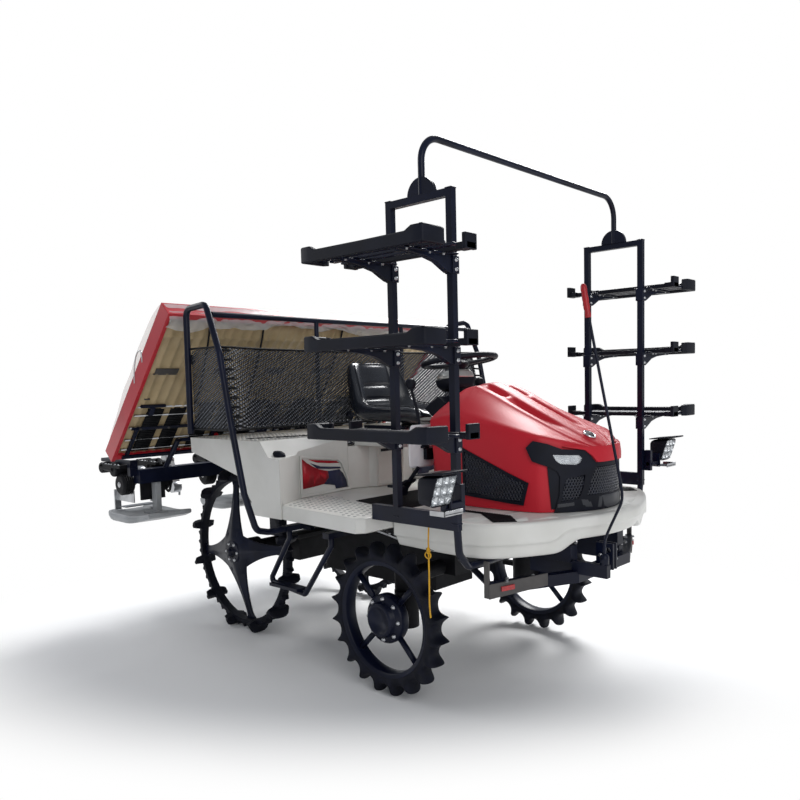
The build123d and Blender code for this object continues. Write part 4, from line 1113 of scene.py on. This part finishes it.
def lamp_ring(depth, grow, sink=0.0):
    """Rounded rectangle round a work lamp, at a share of its depth."""
    ring = []
    for a in circle(28, 0.5):
        c, s = math.cos(a), math.sin(a)
        size = 1 / (abs(c) ** 6 + abs(s) ** 6) ** (1 / 6)
        y, z = -861 + 56 * grow * c * size, 944 + 54 * grow * s * size
        ring.append((1734 + (lamp_front(z) - 1734) * depth - sink, y, z))
    return ring


def build_lamps():
    """Square work lamps that face ahead under thin, tilted hoods."""
    rings = [lamp_ring(0.0, 0.55), lamp_ring(0.02, 0.78), lamp_ring(0.16, 0.9), lamp_ring(0.96, 1.0),
             lamp_ring(1.0, 0.98), lamp_ring(1.0, 0.9), lamp_ring(1.0, 0.88, 12)]
    shells = [solid(rings)]
    for i in range(5):
        shells.append(box(1728, 1738, -892 + 14 * i, -888 + 14 * i, 915, 975))
    cells = []
    for i in range(3):
        for j in range(3):
            y, z = -895 + 34 * i, 912 + 32 * j
            # a square cup and the round lamp in it
            for profile, count in (([(21, -1), (17, -9), (10, -14), (0.01, -15)], 4),
                                   ([(8, -14), (7, -6), (0.01, -3)], 12)):
                cells.append(lathe(profile, (lamp_front(z), y, z), (1, 0, -0.1), count))
    rows = []
    for i in range(9):
        bow = 3 * math.cos((i - 4) / 4 * 1.3) - 1
        rows.append([(lamp_front(z) + bow, -911 + 12.5 * i, z) for z in (896, 910, 926, 944, 962, 980, 992)])
    lens = [grid(rows)]
    visor = [solid([[(1740, y, 1001), (1862, y, 1013), (1864, y, 1008), (1858, y, 1005), (1740, y, 996)]
                    for y in (-922, -796)])]
    arms = [box(1752.5, 1786, -738, -716, 850, 950), box(1756, 1790, -806, -730, 874, 892),
            bar((1772, -812, 883), (1772, -716, 883), 11), box(1748, 1796, -806, -798, 862, 930)]
    tray = [box(1772, 1838, -884, -792, 866, 870), box(1772, 1838, -888, -884, 862, 880),
            box(1834, 1838, -888, -792, 862, 880)]
    for name, group, finish, slot, ease, stands in (
            ("lamp_bodies", shells, BLACK_PP, "black_plastic", 1.5, ("work_lamps",)),
            ("lamp_visors", visor, BLACK_PP, "black_plastic", 1.0, ()),
            ("lamp_arms", arms, BLACK_COAT, "black_steel", 2, ()),
            ("lamp_plates", tray, ZINC, "bright_steel", 0.8, ()),
            ("lamp_reflectors", cells, CHROME, "bright_steel", 0, ()),
            ("lamp_lenses", lens, LENS, "film", 0, ())):
        piece(name, both_sides(joined(group)), finish, "chassis", slot, stands, ease=ease)


# ================================================================ decks, trim and small parts
SEAM = 0.00005             # metres: corners this close are one


def round_cad():
    """Weld the seams of the frame's own solids and ease their sharp edges, in millimetres by what each is."""
    widths = {"rear_deck": 9, "seat_pedestal": 9, "floor_deck": 8, "dash_cowl": 6, "dash_panel": 8,
              "front_bar": 2.5, "rack_frames": 3, "chassis_frame": 2, "transmission_case": 6,
              "engine_block": 6, "rear_axle": 4, "front_axle": 4, "knuckle_right": 4, "knuckle_left": 4,
              "table_frame": 3, "planter_frame": 2, "planting_cases": 6, "floats": 10, "foot_steps": 1.5,
              "foot_pedal": 2, "seat_rails": 1.5, "lower_link": 2, "upper_link": 2,
              "planting_rotor_right": 3, "planting_rotor_centre": 3, "planting_rotor_left": 3}
    for name, width in widths.items():
        node = NODES[name]
        weld = node.modifiers.new("weld", "WELD")
        weld.merge_threshold = SEAM
        eased(node, width, 3 if width > 5 else 2)


def grip_mat(outline, sheet_top, xs, ys, inset, bars_z):
    """Rubber mat on the deck: a thin sheet with grip bars, 7 mm wide, from edge to edge."""
    parts = [plate(outline, DECK_TOP, sheet_top)]
    for x in xs:
        span = [y for y in ys if inside((x + 3, y), outline)]
        if len(span) > 1:
            parts.append(box(x, x + 7, span[0] + inset[0], span[-1] - inset[1], *bars_z))
    return joined(parts)


def build_mats():
    """Grip mats, anti-slip dots and the wings' grips and latches."""
    outline = [(1500, -395), (1745, -395), (1835, -478), (1770, -540), (1620, -420), (1500, -420)]
    shape = both_sides(grip_mat(outline, 787, [1505 + 12 * i for i in range(26)], range(-545, -390, 5),
                                (4, 2), (786, 790.5)))
    piece("walkway_grips", shape, BELT, "chassis", "belt_rubber", ease=0.8)
    outline = [(958, -474), (1010, -300), (1010, 300), (958, 474), (1250, 535), (1296, 500), (1296, -500),
               (1250, -535)]
    shape = grip_mat(outline, 787.5, [968 + 13.5 * i for i in range(24)], range(-530, 535, 5), (8, 8),
                     (787, 790))
    piece("floor_mat", shape, BELT, "chassis", "belt_rubber", ease=0.8)
    walk = [(705, -560), (792, -722), (1270, -758), (1298, -735), (1298, -560), (1240, -550), (945, -490),
            (760, -420), (690, -440)]
    wing = [(90, -735), (620, -735), (620, -262), (90, -262)]
    dots = []
    for i in range(20):
        for j in range(12):
            for x0, y0, z, loop in ((690, -750, DECK_TOP, walk), (95, -732, WING_TOP, wing)):
                x, y = x0 + 33 * i + 16 * (j % 2), y0 + 33 * j
                if inside((x, y), loop):
                    dots.append(lathe([(7.5, -0.5), (6.5, 1.6), (0.01, 2.6)], (x, y, z), (0, 0, 1), 8))
    piece("anti_slip_dots", both_sides(joined(dots)), GRIP_GREY, "chassis", "white_panel")
    dashes = []
    for i in range(9):
        y = -690 + 42 * i
        x = 455 + 0.28 * (y + 690)
        dashes.append(solid([[(x + dx, y + dy, z) for dx, dy in ((0, 0), (22, 4), (26, 34), (4, 30))]
                             for z in (1059, 1064)]))
    piece("wing_grips", both_sides(joined(dashes)), BELT, "chassis", "belt_rubber", ease=1)
    cap = lathe([(0.01, 26), (26, 24), (44, 16), (50, 6), (50, 0)], (0, 0, 0), (0, 0, 1), 28)
    shape = both_sides(([(690 + x * 0.9, -690 + y * 0.55, 990 + z) for x, y, z in cap[0]], cap[1]))
    piece("wing_latches", shape, BLACK_PP, "chassis", "black_plastic")


def build_flashes():
    """Front of each wing: raised white rim, plain red and navy areas with curved edges."""
    outer, inner = (689.0, -576.0), (652.0, -230.0)        # ends of the wing's front face, from above
    long = math.dist(outer, inner)
    tx, ty = (inner[0] - outer[0]) / long, (inner[1] - outer[1]) / long

    def lay(u, z, out):
        return (outer[0] + tx * u + ty * out, outer[1] + ty * u - tx * out, z)

    rim = [(4, 983), (120, 968), (262, 950), (292, 928), (312, 890), (334, 840), (344, 788), (6, 788)]
    opening = [(15, 971), (118, 957), (256, 940), (282, 921), (300, 886), (322, 838), (330, 800), (16, 800)]
    shape = both_sides(panel_mesh(rim, [opening], 40, lambda s, z: lay(s, z, 4.0)))
    piece("flash_rim", shape, WHITE_ABS, "chassis", "white_panel", thick=5, ease=1.5)
    red = [(16, 826), (17, 970), (50, 946), (90, 924), (128, 908), (190, 893), (196, 862), (160, 834),
           (90, 829)]
    red_streak = [(60, 960), (118, 952), (250, 936), (272, 924), (200, 930), (120, 940)]
    navy = [(190, 893), (270, 893), (296, 872), (318, 838), (326, 802), (244, 802), (236, 820), (160, 834),
            (196, 862)]
    navy_streak = [(74, 942), (142, 920), (276, 905), (284, 896), (200, 902), (120, 912)]
    areas = (("flash_red", RED_ABS, "red_panel", (red, red_streak)),
             ("flash_navy", NAVY, "black_plastic", (navy, navy_streak)))
    for name, finish, slot, loops in areas:
        shape = both_sides(joined([panel_mesh(loop, [], 40, lambda s, z: lay(s, z, 2.2)) for loop in loops]))
        piece(name, shape, finish, "chassis", slot, thick=1.2)


def build_cowl():
    """The cowl's panel rim and latch, and a blank booklet that hangs by it."""
    rim = [(-96, 988), (96, 988), (92, 792), (-92, 792)]
    opening = [(-86, 978), (86, 978), (82, 800), (-82, 800)]
    piece("panel_rim", panel_mesh(rim, [opening], 60, lambda s, z: (715.5, s, z)), WHITE_ABS, "chassis",
          "white_panel", thick=4, ease=1.5)
    piece("panel_latch", box(711, 716, -70, 20, 962, 976), BLACK_PP, "chassis", "black_plastic", ease=2)

    rows = []
    for i in range(9):
        t = i / 8
        rows.append([(1172 - 14 * math.sin(2.4 * t) - 4 * math.cos(3 * w), -330 + 150 * w, 1118 - 190 * t)
                     for w in (0.0, 0.16, 0.33, 0.48, 0.5, 0.52, 0.67, 0.84, 1.0)])
    leaf = piece("hanging_booklet", grid(rows), PAPER, "chassis", "white_panel", rounding=1, thick=2)


# ================================================================ seat
# X, Z, lean, half width, bolster height, depth behind
SEAT_LINE = [
    (597, 1410, 0.16, 150, 4, 22), (601, 1398, 0.16, 164, 14, 34), (610, 1370, 0.17, 176, 26, 48),
    (622, 1330, 0.19, 184, 34, 56), (633, 1296, 0.2, 188, 38, 60), (644, 1262, 0.22, 192, 40, 62),
    (654, 1228, 0.28, 196, 44, 64), (668, 1198, 0.5, 200, 50, 62), (694, 1174, 0.95, 204, 52, 54),
    (734, 1162, 1.4, 206, 46, 46), (790, 1160, 1.55, 207, 38, 46), (860, 1164, 1.6, 208, 32, 52),
    (940, 1170, 1.62, 208, 26, 60), (1010, 1174, 1.6, 206, 22, 66), (1062, 1172, 1.45, 202, 16, 66),
    (1092, 1160, 1.0, 196, 8, 50), (1104, 1144, 0.45, 188, 2, 30)]
CHANNELS = (12, 18, 23, 27)      # rows of the skin that are sewn down


def build_seat():
    """One vinyl bucket: back, wings and cushion in a single skin with quilted channels across it."""
    line = []
    for a, b in zip(SEAT_LINE, SEAT_LINE[1:]):
        for k in range(3):
            line.append([p + (q - p) * k / 3 for p, q in zip(a, b)])
    line.append(list(SEAT_LINE[-1]))
    rows = []
    for i, (x, z, lean, half, bolster, deep) in enumerate(line):
        ox, oz = math.cos(lean), math.sin(lean)
        row = []
        for w in (-1.0, -0.95, -0.86, -0.75, -0.66, -0.6, -0.56, -0.5, -0.25, 0, 0.25, 0.5, 0.56, 0.6, 0.66,
                  0.75, 0.86, 0.95, 1.0):
            m = abs(w)
            if m > 0.86:
                out = bolster - bolster * 0.5 * ((m - 0.86) / 0.14) ** 2
            else:
                out = bolster * min(1.0, max(0.0, (m - 0.56) / 0.3)) ** 0.7
            if m < 0.56:
                out += 7 * (1 - (m / 0.56) ** 2) * (1 if 3 < i < 44 else 0)
                out -= 13 if i in CHANNELS else 0
            if 0.55 < m < 0.57:
                out -= 5
            row.append((x + ox * out, half * w, z + oz * out))
        for w in (0.99, 0.9, 0.5, 0, -0.5, -0.9, -0.99):
            back = deep * (0.35 if abs(w) > 0.95 else 0.8 if abs(w) > 0.8 else 1.0)
            row.append((x - ox * back, half * w, z - oz * back))
        rows.append(row)
    bucket = piece("bucket_seat", solid(rows), VINYL, "chassis", "seat_vinyl",
                   ("seat_cushion", "seat_back"), rounding=1)
    for tag, side in SIDES:
        route = []
        for x, z, lean, half, bolster, deep in SEAT_LINE[1:-1]:
            route.append((x + math.cos(lean) * (bolster + 1), side * half * 0.87,
                          z + math.sin(lean) * (bolster + 1)))
        tube(f"seat_piping_{tag}", route, 2.6, VINYL, "chassis", "seat_vinyl")
    pivots = [lathe([(0.01, 12), (20, 10), (24, 4), (24, 0)], (640, -204, 1150), (0, -1, 0), 20),
              lathe([(0.01, 16), (9, 15), (10, 10)], (640, -204, 1150), (0, -1, 0), 12)]
    piece("seat_pivots", both_sides(joined(pivots)), BLACK_PP, "chassis", "black_plastic")


# ================================================================ controls
def build_controls():
    """Thick-rimmed wheel with three flat spokes, silver pod, gaiters, knobs and pedal pads."""
    lean = Vector((-20.0, 0.0, 146.0)).normalized()
    foot = Vector((1191.2, 0.0, 1324.0))     # on the column, under the wheel
    turn = Matrix((Vector((lean.z, 0.0, -lean.x)), Vector((0, 1, 0)), lean)).transposed()

    def up(x, y, z):
        return tuple(foot + turn @ Vector((x, y, z)))

    rows = []
    for a in circle(64):
        row = []
        for b in circle(14):
            r = 168 + 13.5 * math.cos(b)
            row.append(up(r * math.cos(a), r * math.sin(a), 78 + 13.0 * math.sin(b)))
        rows.append(row)
    parts = [grid(rows + [rows[0]], closed=True)]
    for k in range(3):
        a = math.radians(180 + 120 * k)
        ring = []
        for r, wide, z, deep in ((20, 34, 66, 10), (60, 24, 66, 9), (110, 18, 70, 7), (160, 22, 78, 7)):
            ring.append([up(r * math.cos(a) - y * math.sin(a), r * math.sin(a) + y * math.cos(a), z + dz)
                         for y, dz in ((-wide, -deep * 0.4), (-wide * 0.7, deep), (wide * 0.7, deep),
                                       (wide, -deep * 0.4), (wide * 0.6, -deep), (-wide * 0.6, -deep))])
        parts.append(solid(ring))
    boss = [(17, 0), (18, 34), (24, 42), (40, 52), (44, 60), (40, 69), (26, 75), (0.1, 77)]
    parts.append(grid([[up(r * math.cos(a), r * math.sin(a), z) for a in circle(32)] for r, z in boss],
                      closed=True))
    piece("driving_wheel", joined(parts), BLACK_PP, "steering_wheel", "black_plastic", ("steering_wheel",),
          ease=2)
    pod = [(70, -64), (92, -40), (98, -22), (98, -14), (96, -12)]
    top = [(96, -12), (94, -4), (86, 12), (66, 24), (36, 29), (24, 30)]
    for name, profile, finish, slot in (("column_bowl", pod, BLACK_PP, "black_plastic"),
                                        ("column_pod", top, SILVER, "bright_steel")):
        ring = [[up(min(r * math.cos(a) * 1.05 - 34, 20), r * 0.9 * math.sin(a), z + 12) for a in circle(40)]
                for r, z in profile]
        piece(name, grid(ring, closed=True), finish, "chassis", slot, thick=2)
    parts = []
    for side in (-1, 1):
        for k in range(6):
            parts.append(lathe([(26 - 2 * k, 0), (30 - 2 * k, 6), (24 - 2 * k, 12)],
                               (1151 - 3 * k, side * 231, 1010 + 11 * k), (-0.15, side * -0.05, 1), 20))
        parts.append(lathe([(0.01, -26), (14, -24), (21, -12), (24, 2), (21, 15), (12, 23), (0.01, 25)],
                           (1100, side * 250, 1300), (-0.2, 0, 1), 24))
    parts.append(box(1104, 1200, -420, -404, 850, 862))
    pad = [(1062, 800), (1070, 830), (1094, 860), (1128, 876), (1134, 866), (1104, 848), (1082, 824),
           (1074, 796)]
    parts.append(solid([[(x, y, z) for x, z in pad] for y in (-330, -262)]))
    parts.append(bar((1120, -296, 866), (1178, -296, 930), 9))
    piece("lever_gaiters", joined(parts), BLACK_PP, "chassis", "black_plastic", ease=1.5)


# ================================================================ front end
def build_front():
    """Folded end plates with reflectors and hitch bolts."""
    (ax, ay), (bx, by) = (1762, -562), (1872, -338)
    bend = [(ax, ay, 500), (bx, by, 524), (bx, by, 572), (ax, ay, 556)]
    plates = [solid([[(x + dx, y + dy, z) for x, y, z in bend] for dx, dy in ((0, 0), (5.4, -2.6))]),
              box(1742, 1764, -564, -554, 502, 640)]
    patch = [(1786, -520, 526), (1810, -470, 530), (1810, -470, 548), (1786, -520, 544)]
    reflectors = [solid([[(x + dx, y + dy, z) for x, y, z in patch] for dx, dy in ((0, 0), (9, -4.4))])]
    bolts = []
    for y, out in ((-63.2, -1), (-24.8, 1)):
        for z in (560, 600):
            bolts.append(bolt((1945, y, z), (0, out, 0), 7))
    for x, y in ((1780, -470), (1830, -372), (1800, -500)):
        bolts.append(bolt((x, y, 560), (0, 0, 1), 7))
    for name, group, finish, slot, ease in (("bar_plates", plates, GREY_ENAMEL, "black_steel", 1.5),
                                            ("bar_reflectors", reflectors, RED_LENS, "red_panel", 1),
                                            ("bar_bolts", bolts, ZINC, "bright_steel", 0)):
        piece(name, both_sides(joined(group)), finish, "chassis", slot, ease=ease)


def build_pole():
    """Marker pole, bowed forward in front of the nose, with its grip sleeve and socket."""
    y = -202.0
    route = [(2040, y, 639), (2040, y, 676), (2044, y, 706), (2101, y, 822), (2113, y, 850), (2114, y, 880),
             (2110, y, 910), (1979, y, 1530), (1956, y, 1656)]
    shaft = tube("bent_pole", route, 5.5, BLACK_COAT, "chassis", "black_steel")
    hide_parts("aim_pole")
    foot, top = Vector((1977.0, y, 1532)), Vector((1954.7, y, 1660))
    profile = [(8, 0), (11, 3), (12.5, 12), (10.5, 24), (12.5, 40), (10.8, 56), (12.5, 74), (10.8, 92),
               (12.5, 108), (11, 122), (6, 130), (0.01, 130)]
    piece("grip_sleeve", lathe(profile, foot, top - foot, 20), RED_PVC, "chassis", "red_panel")
    socket = [lathe([(15, 0), (17, 4), (17, 34), (13, 40), (9, 44)], (2040, y, 598), (0, 0, 1), 20),
              bolt((2040, y - 16, 618), (0, -1, 0), 7)]
    piece("pole_socket", joined(socket), BLACK_COAT, "chassis", "black_steel")


def build_cord():
    """Yellow tie cord that hangs from the walkway's edge, with the knot and the loop half way down."""
    route = [(1606, -710, 777.4), (1605, -714, 735), (1608, -716, 690), (1605, -713, 640), (1608, -716, 585),
             (1605, -714, 530), (1607, -717, 480), (1610, -715, 440)]
    cord = dress(round_line("tie_cord_line", route, 3), CORD, "chassis", "cord", ("tie_cord",))
    knots = []
    for z, r in ((690, 8.5), (682, 7.5), (698, 7)):
        knots.append(lathe([(0.01, -5), (r * 0.7, -4), (r, 0), (r * 0.7, 4), (0.01, 5)], (1607, -716, z),
                           (0.3, 0.1, 1), 12))
    loop = []
    for t in circle(24):
        loop.append([(1607 + (14 + 2.4 * math.cos(b)) * math.cos(t), -719 + 2.4 * math.sin(b),
                      674 + (12 + 2.4 * math.cos(b)) * math.sin(t)) for b in circle(6)])
    knots.append(grid(loop + [loop[0]], closed=True))
    piece("cord_knot", joined(knots), CORD, "chassis", "cord")


# ================================================================ rear wheel stars
def build_stars():
    """Four-armed dished star: ridged arms that narrow to the ring, concave between them."""
    root, tip = 40, 371
    for side, out in SIDES:
        y = out * REAR_HALF_TRACK
        parts = []
        for i in range(4):
            rows = []
            for k in range(17):
                r = root + (tip - root) * k / 16
                w = 22 + 74 * max(0.0, (372 - r) / 312) ** 2.3 + 16 * max(0.0, (r - 330) / 41) ** 2
                dish = 52 + (-4 - 52) * max(0.0, (r - 60) / 311)
                ridge = 20 - 12 * (r / tip)
                section = [(-w, 0), (-w * 0.92, 5), (-w * 0.16, ridge - 2), (0, ridge), (w * 0.16, ridge - 2),
                           (w * 0.92, 5), (w, 0), (w * 0.9, -8), (0, -8), (-w * 0.9, -8)]
                rows.append([on_wheel(y + out * (dish + depth), r, across, 7 + 90 * i)
                             for across, depth in section])
            parts.append(solid(rows))
        middle = (0, y, REAR_Z)
        hub = [(92, 40), (96, 48), (88, 56), (66, 62), (62, 66), (58, 72), (30, 74), (26, 69), (0.01, 69)]
        parts.append(lathe(hub, middle, (0, out, 0), 40))
        parts.append(lathe([(0.01, 4), (62, 4), (62, 40), (92, 44)], middle, (0, out, 0), 40))
        piece(f"ridged_star_{side}", joined(parts), BLACK_COAT, f"rear_wheel_{side}", "black_steel",
              (f"rear_wheel_disc_{side}",), ease=2)


# ================================================================ planting gear
FLOAT_Y = 680.0            # middles of the two outer floats
DRUM_X, DRUM_Z = -520, 792     # shaft of the chain cases


def build_planting():
    """Chain cases, drums, springs, float brackets and hoses below the table."""
    cast, bright, hoses = [], [], []
    across = (0, 1, 0)
    drum = [(0.01, -34), (46, -34), (54, -28), (54, 28), (46, 34), (0.01, 34)]
    fin = [(54, -3), (60, -2), (60, 2), (54, 3)]
    shaft_end = [(0.01, 38), (15, 36), (17, 32), (17, 28)]
    for y in (-806.0, -600.0, -300.0, 0.0, 300.0, 600.0, 806.0):
        cast.append(lathe(drum, (DRUM_X, y, DRUM_Z), across, 24))
        for k in range(5):
            cast.append(lathe(fin, (DRUM_X, y - 22 + 11 * k, DRUM_Z), across, 24))
        cast.append(bar((DRUM_X, y + 48, DRUM_Z), (-440, y + 48, 846), 15, 12))
        bright.append(lathe(shaft_end, (DRUM_X, y, DRUM_Z), (0, -1, 0), 14))
    pivot = [(0.01, -46), (26, -46), (30, -40), (30, 40), (22, 46), (0.01, 46)]
    gear_boss = [(0.01, -40), (36, -40), (40, -34), (40, 30), (30, 40), (0.01, 40)]
    for y in (-812.0, -605.0, -235.0, 235.0, 605.0, 812.0):
        cast.append(box(-700, -470, y - 46, y + 46, 882, 898))
        cast.append(lathe(pivot, (-690, y, 876), across, 20))
        cast.append(lathe(gear_boss, (-566, y, 872), across, 20))
        cast.append(bar((-690, y - 34, 876), (-566, y - 34, 872), 14, 10))
        for k in range(6):
            bright.append(bolt((-680 + 36 * k, y - 38, 898), (0, 0, 1), 5.5))
    coil = [(13, -3.2), (16, 0), (13, 3.2)]
    for _, out in SIDES:
        y = out * FLOAT_Y
        cast.append(box(-472, -456, y - 70, y + 70, 700, 800))
        bright.append(box(-660, -470, y + out * 104 - 3, y + out * 104 + 3, 690, 756))
        bright.append(box(-668, -660, y + out * 104 - 18, y + out * 104 + 18, 636, 750))
        bright.append(box(-664, -600, y - 90, y + 90, 648, 654))
        for k in range(11):
            bright.append(lathe(coil, (-600, y - out * 68, 672 + 8 * k), (0.1, 0, 1), 14))
        hoses.append([(-450, y - out * 50, 882), (-500, y - out * 70, 915), (-560, y - out * 80, 905),
                      (-600, y - out * 76, 880)])
        hoses.append([(-440, y - out * 100, 800), (-470, y - out * 110, 740), (-520, y - out * 120, 716),
                      (-560, y - out * 122, 760)])
    for name, group, finish, slot, ease in (("drive_cases", cast, CAST_BLACK, "cast_black", 2),
                                            ("float_brackets", bright, ZINC, "bright_steel", 0.8)):
        piece(name, joined(group), finish, "planter", slot, ease=ease)
    for i, route in enumerate(hoses):
        tube(f"planter_hose_{i}", route, 7, BELT, "planter", "belt_rubber")


# half widths and heights round a float's section, dished along the middle of its top
FLOAT_SECTION = [(-0.97, 0), (-1, 0.2), (-1, 0.7), (-0.96, 0.92), (-0.8, 1), (-0.5, 1), (-0.42, 0.78),
                 (0, 0.72), (0.42, 0.78), (0.5, 1), (0.8, 1), (0.96, 0.92), (1, 0.7), (1, 0.2), (0.97, 0),
                 (0, -0.05)]


def build_floats():
    """Three grey floats: dished pans, turned up at the front, each on a stem."""
    for i, (y, w) in enumerate(((-FLOAT_Y, 150.0), (0.0, 260.0), (FLOAT_Y, 150.0))):
        rows = []
        for k in range(15):
            t = k / 14
            x = -704 + 418 * t
            lift = 20 * max(0.0, (0.14 - t) / 0.14) ** 2 + 42 * max(0.0, (t - 0.5) / 0.5) ** 1.7
            deep = 48 - 24 * t ** 3 - 14 * max(0.0, (0.1 - t) / 0.1)
            narrow = 1 - 0.16 * max(0.0, (t - 0.55) / 0.45) ** 2 - 0.05 * max(0.0, (0.1 - t) / 0.1)
            z = 582 + lift
            rows.append([(x, y + w * narrow * c, z + deep * d) for c, d in FLOAT_SECTION])
        parts = [solid(rows), box(-446, -399, y - 16, y + 16, 620, 799),
                 box(-500, -380, y - 40, y + 40, 622, 636)]
        piece(f"shaped_float_{i}", joined(parts), FLOAT_PE, "planter", "float_plastic",
              ("floats",) if i == 0 else (), ease=3)


# ================================================================ table fittings
def build_fittings():
    """Guide plates, cables and side hooks of the seedling table."""
    plates, bright = [], []
    for y in (-838, -520, -200, 120, 440, 760):
        bright.append(table_block(568, 600, y - 60, y + 60, -26, -21))
        bright.append(table_block(560, 566, y - 64, y + 64, -24, -16))
        plates.append(table_block(352, 366, y - 66, y + 66, -34, -22))
        plates.append(table_block(300, 352, y - 12, y + 12, -36, -26))
    plates.append(table_block(4, 26, -905, 905, -44, -34))
    plates.append(table_block(196, 214, -905, 905, -30, -24))
    for y in (-880, -420, 0, 420, 880):
        plates.append(table_block(20, 210, y - 8, y + 8, -40, -26))
        bright.append(table_block(395, 402, y - 14, y + 14, -22, -15))
    for i in range(12):
        bright.append(bolt(on_table(205, -860 + 156 * i, -30), (0.7, 0, -0.7), 6))
    for name, group, finish, slot in (("table_guides", bright, GREY_ENAMEL, "bright_steel"),
                                      ("table_plates", plates, BLACK_COAT, "black_steel")):
        piece(name, joined(group), finish, "seedling_table", slot, ease=1)
    for i, y in enumerate((-690.0, -380.0, 150.0, 620.0)):
        tube(f"table_cable_{i}", [on_table(876, y - 24, -24), on_table(820, y - 10, -34),
                                  on_table(700, y + 20, -30), on_table(560, y + 52, -30),
                                  on_table(430, y + 84, -24), on_table(366, y + 80, -26)], 5.0, BELT,
             "seedling_table", "belt_rubber")
    for tag, side in SIDES:
        bends = [(470, 20), (520, 62), (600, 92), (640, 70), (622, 40), (600, 22)]
        route = [on_table(u, side * 951, n) for u, n in bends]
        tube(f"side_hook_{tag}", route, 3.0, ZINC, "seedling_table", "bright_steel")


FOLDS = ((5, 60, 4), (4, 97, -7), (3, 170, 3))     # depth, waves across the table, drift down the hem


def build_overhang():
    """Loose end of the film, hanging in folds behind the table's top edge."""
    rows = []
    for i in range(9):
        t = i / 8
        row = []
        for j in range(121):
            w = j / 120
            y = -940 + 1880 * w
            hang = 62 + 22 * math.sin(9 * w + 1) + 12 * math.sin(31 * w)
            folds = sum(deep * math.sin(turns * w + lean * t) for deep, turns, lean in FOLDS)
            u = TABLE_LONG + 13 - hang * t + 3 * math.sin(74 * w)
            row.append(on_table(u, y, (-36 - folds) * (0.35 + 0.65 * min(1.0, 3 * t)) - 2))
        rows.append(row)
    frill = piece("film_overhang", grid(rows), FILM, "seedling_table", "film")


def build_net_edge():
    """Stitched cords along the net's borders, lashed to the hoops."""
    for name, z in (("upper", NET_FOOT + NET_HIGH + 1), ("lower", NET_FOOT)):
        lean = leg_x(z) - 24
        route = [(338, -886, z), (lean - 30, -888, z), (lean + 2, -880, z), (lean + 4, -860, z),
                 (560, -760, z - 2), (537, -640, z - 5), (534, -300, z - 8), (534, 0, z - 9),
                 (534, 300, z - 8), (537, 640, z - 5), (560, 760, z - 2), (lean + 4, 860, z),
                 (lean + 2, 880, z), (lean - 30, 888, z), (338, 886, z)]
        tube(f"net_border_{name}", route, 5.0, BELT, "chassis", "net")
    ties = []
    for side in (-1, 1):
        for k in range(9):
            z = 1135 + 41 * k
            ties.append(lathe([(19, -4), (22, -3), (22, 3), (19, 4), (19, -4)], (leg_x(z), side * 862, z),
                              (0.12, 0, 1), 16))
        ties.append(box(332, 342, side * 880 - 9, side * 880 + 9, 1410, 1452))
    piece("net_ties", joined(ties), BELT, "chassis", "net")


# ================================================================ under the body
def build_underside():
    """Pipes, hoses, looms, rods, small castings and brackets round the axle and the gearbox."""
    for tag, side in SIDES:
        tube(f"brake_pipe_{tag}", [(560, side * 300, 690), (700, side * 330, 668), (900, side * 318, 655),
                                   (1040, side * 290, 628), (1130, side * 262, 600)], 6, BELT, "chassis",
             "belt_rubber")
        tube(f"drive_rod_{tag}", [(640, side * 250, 640), (1010, side * 262, 588)], 9, ZINC, "chassis",
             "bright_steel", smooth=False)
        tube(f"coolant_hose_{tag}", [(1380, side * 262, 716), (1300, side * 318, 690),
                                     (1190, side * 330, 700), (1060, side * 300, 716)], 13, BELT, "chassis",
             "belt_rubber")
        tube(f"loom_{tag}", [(1500, side * 300, 724), (1400, side * 330, 700), (1290, side * 300, 735),
                             (1120, side * 350, 728), (920, side * 372, 722), (720, side * 360, 716)], 5,
             LOOM_SLEEVE, "chassis", "belt_rubber")
    parts, bolts = [], []
    for side in (-1, 1):
        parts.append(lathe([(0.01, 0), (40, 0), (44, 6), (44, 46), (36, 52), (22, 54), (22, 66), (0.01, 66)],
                           (1000, side * 236, 640), (0, side, 0), 24))
        parts.append(lathe([(0.01, 0), (30, 0), (34, 5), (34, 40), (0.01, 40)], (880, side * 240, 668),
                           (0, side, 0), 20))
        parts.append(box(700, 760, side * 300 - 20, side * 300 + 20, 690, 735))
        parts.append(box(820, 836, side * 330 - 34, side * 330 + 34, 650, 737))
        parts.append(box(1060, 1074, side * 330 - 30, side * 330 + 30, 660, 737))
        parts.append(box(1440, 1500, side * 330 - 26, side * 330 + 26, 660, 738))
        for k in range(6):
            a = k * math.pi / 3
            bolts.append(bolt((1000 + 33 * math.cos(a), side * 290, 640 + 33 * math.sin(a)), (0, side, 0), 5))
        for x in (720, 745, 1450, 1490):
            bolts.append(bolt((x, side * 330, 712), (0, side, 0), 5.5))
    piece("small_castings", joined(parts), CAST_BLACK, "chassis", "cast_black", ease=2)
    piece("casting_bolts", joined(bolts), ZINC, "chassis", "bright_steel")


build_sky()
build_floor()
build_lights()
build_camera()
round_cad()
build_front_wheels()
build_rear_wheels()
build_hood()
build_nose()
build_side_grilles()
build_skirt()
build_seat()
build_net()
build_table()
build_belts()
build_film()
build_racks()
build_lamps()
build_mats()
build_flashes()
build_cowl()
build_controls()
build_front()
build_pole()
build_cord()
build_stars()
build_planting()
build_floats()
build_fittings()
build_overhang()
build_net_edge()
build_underside()
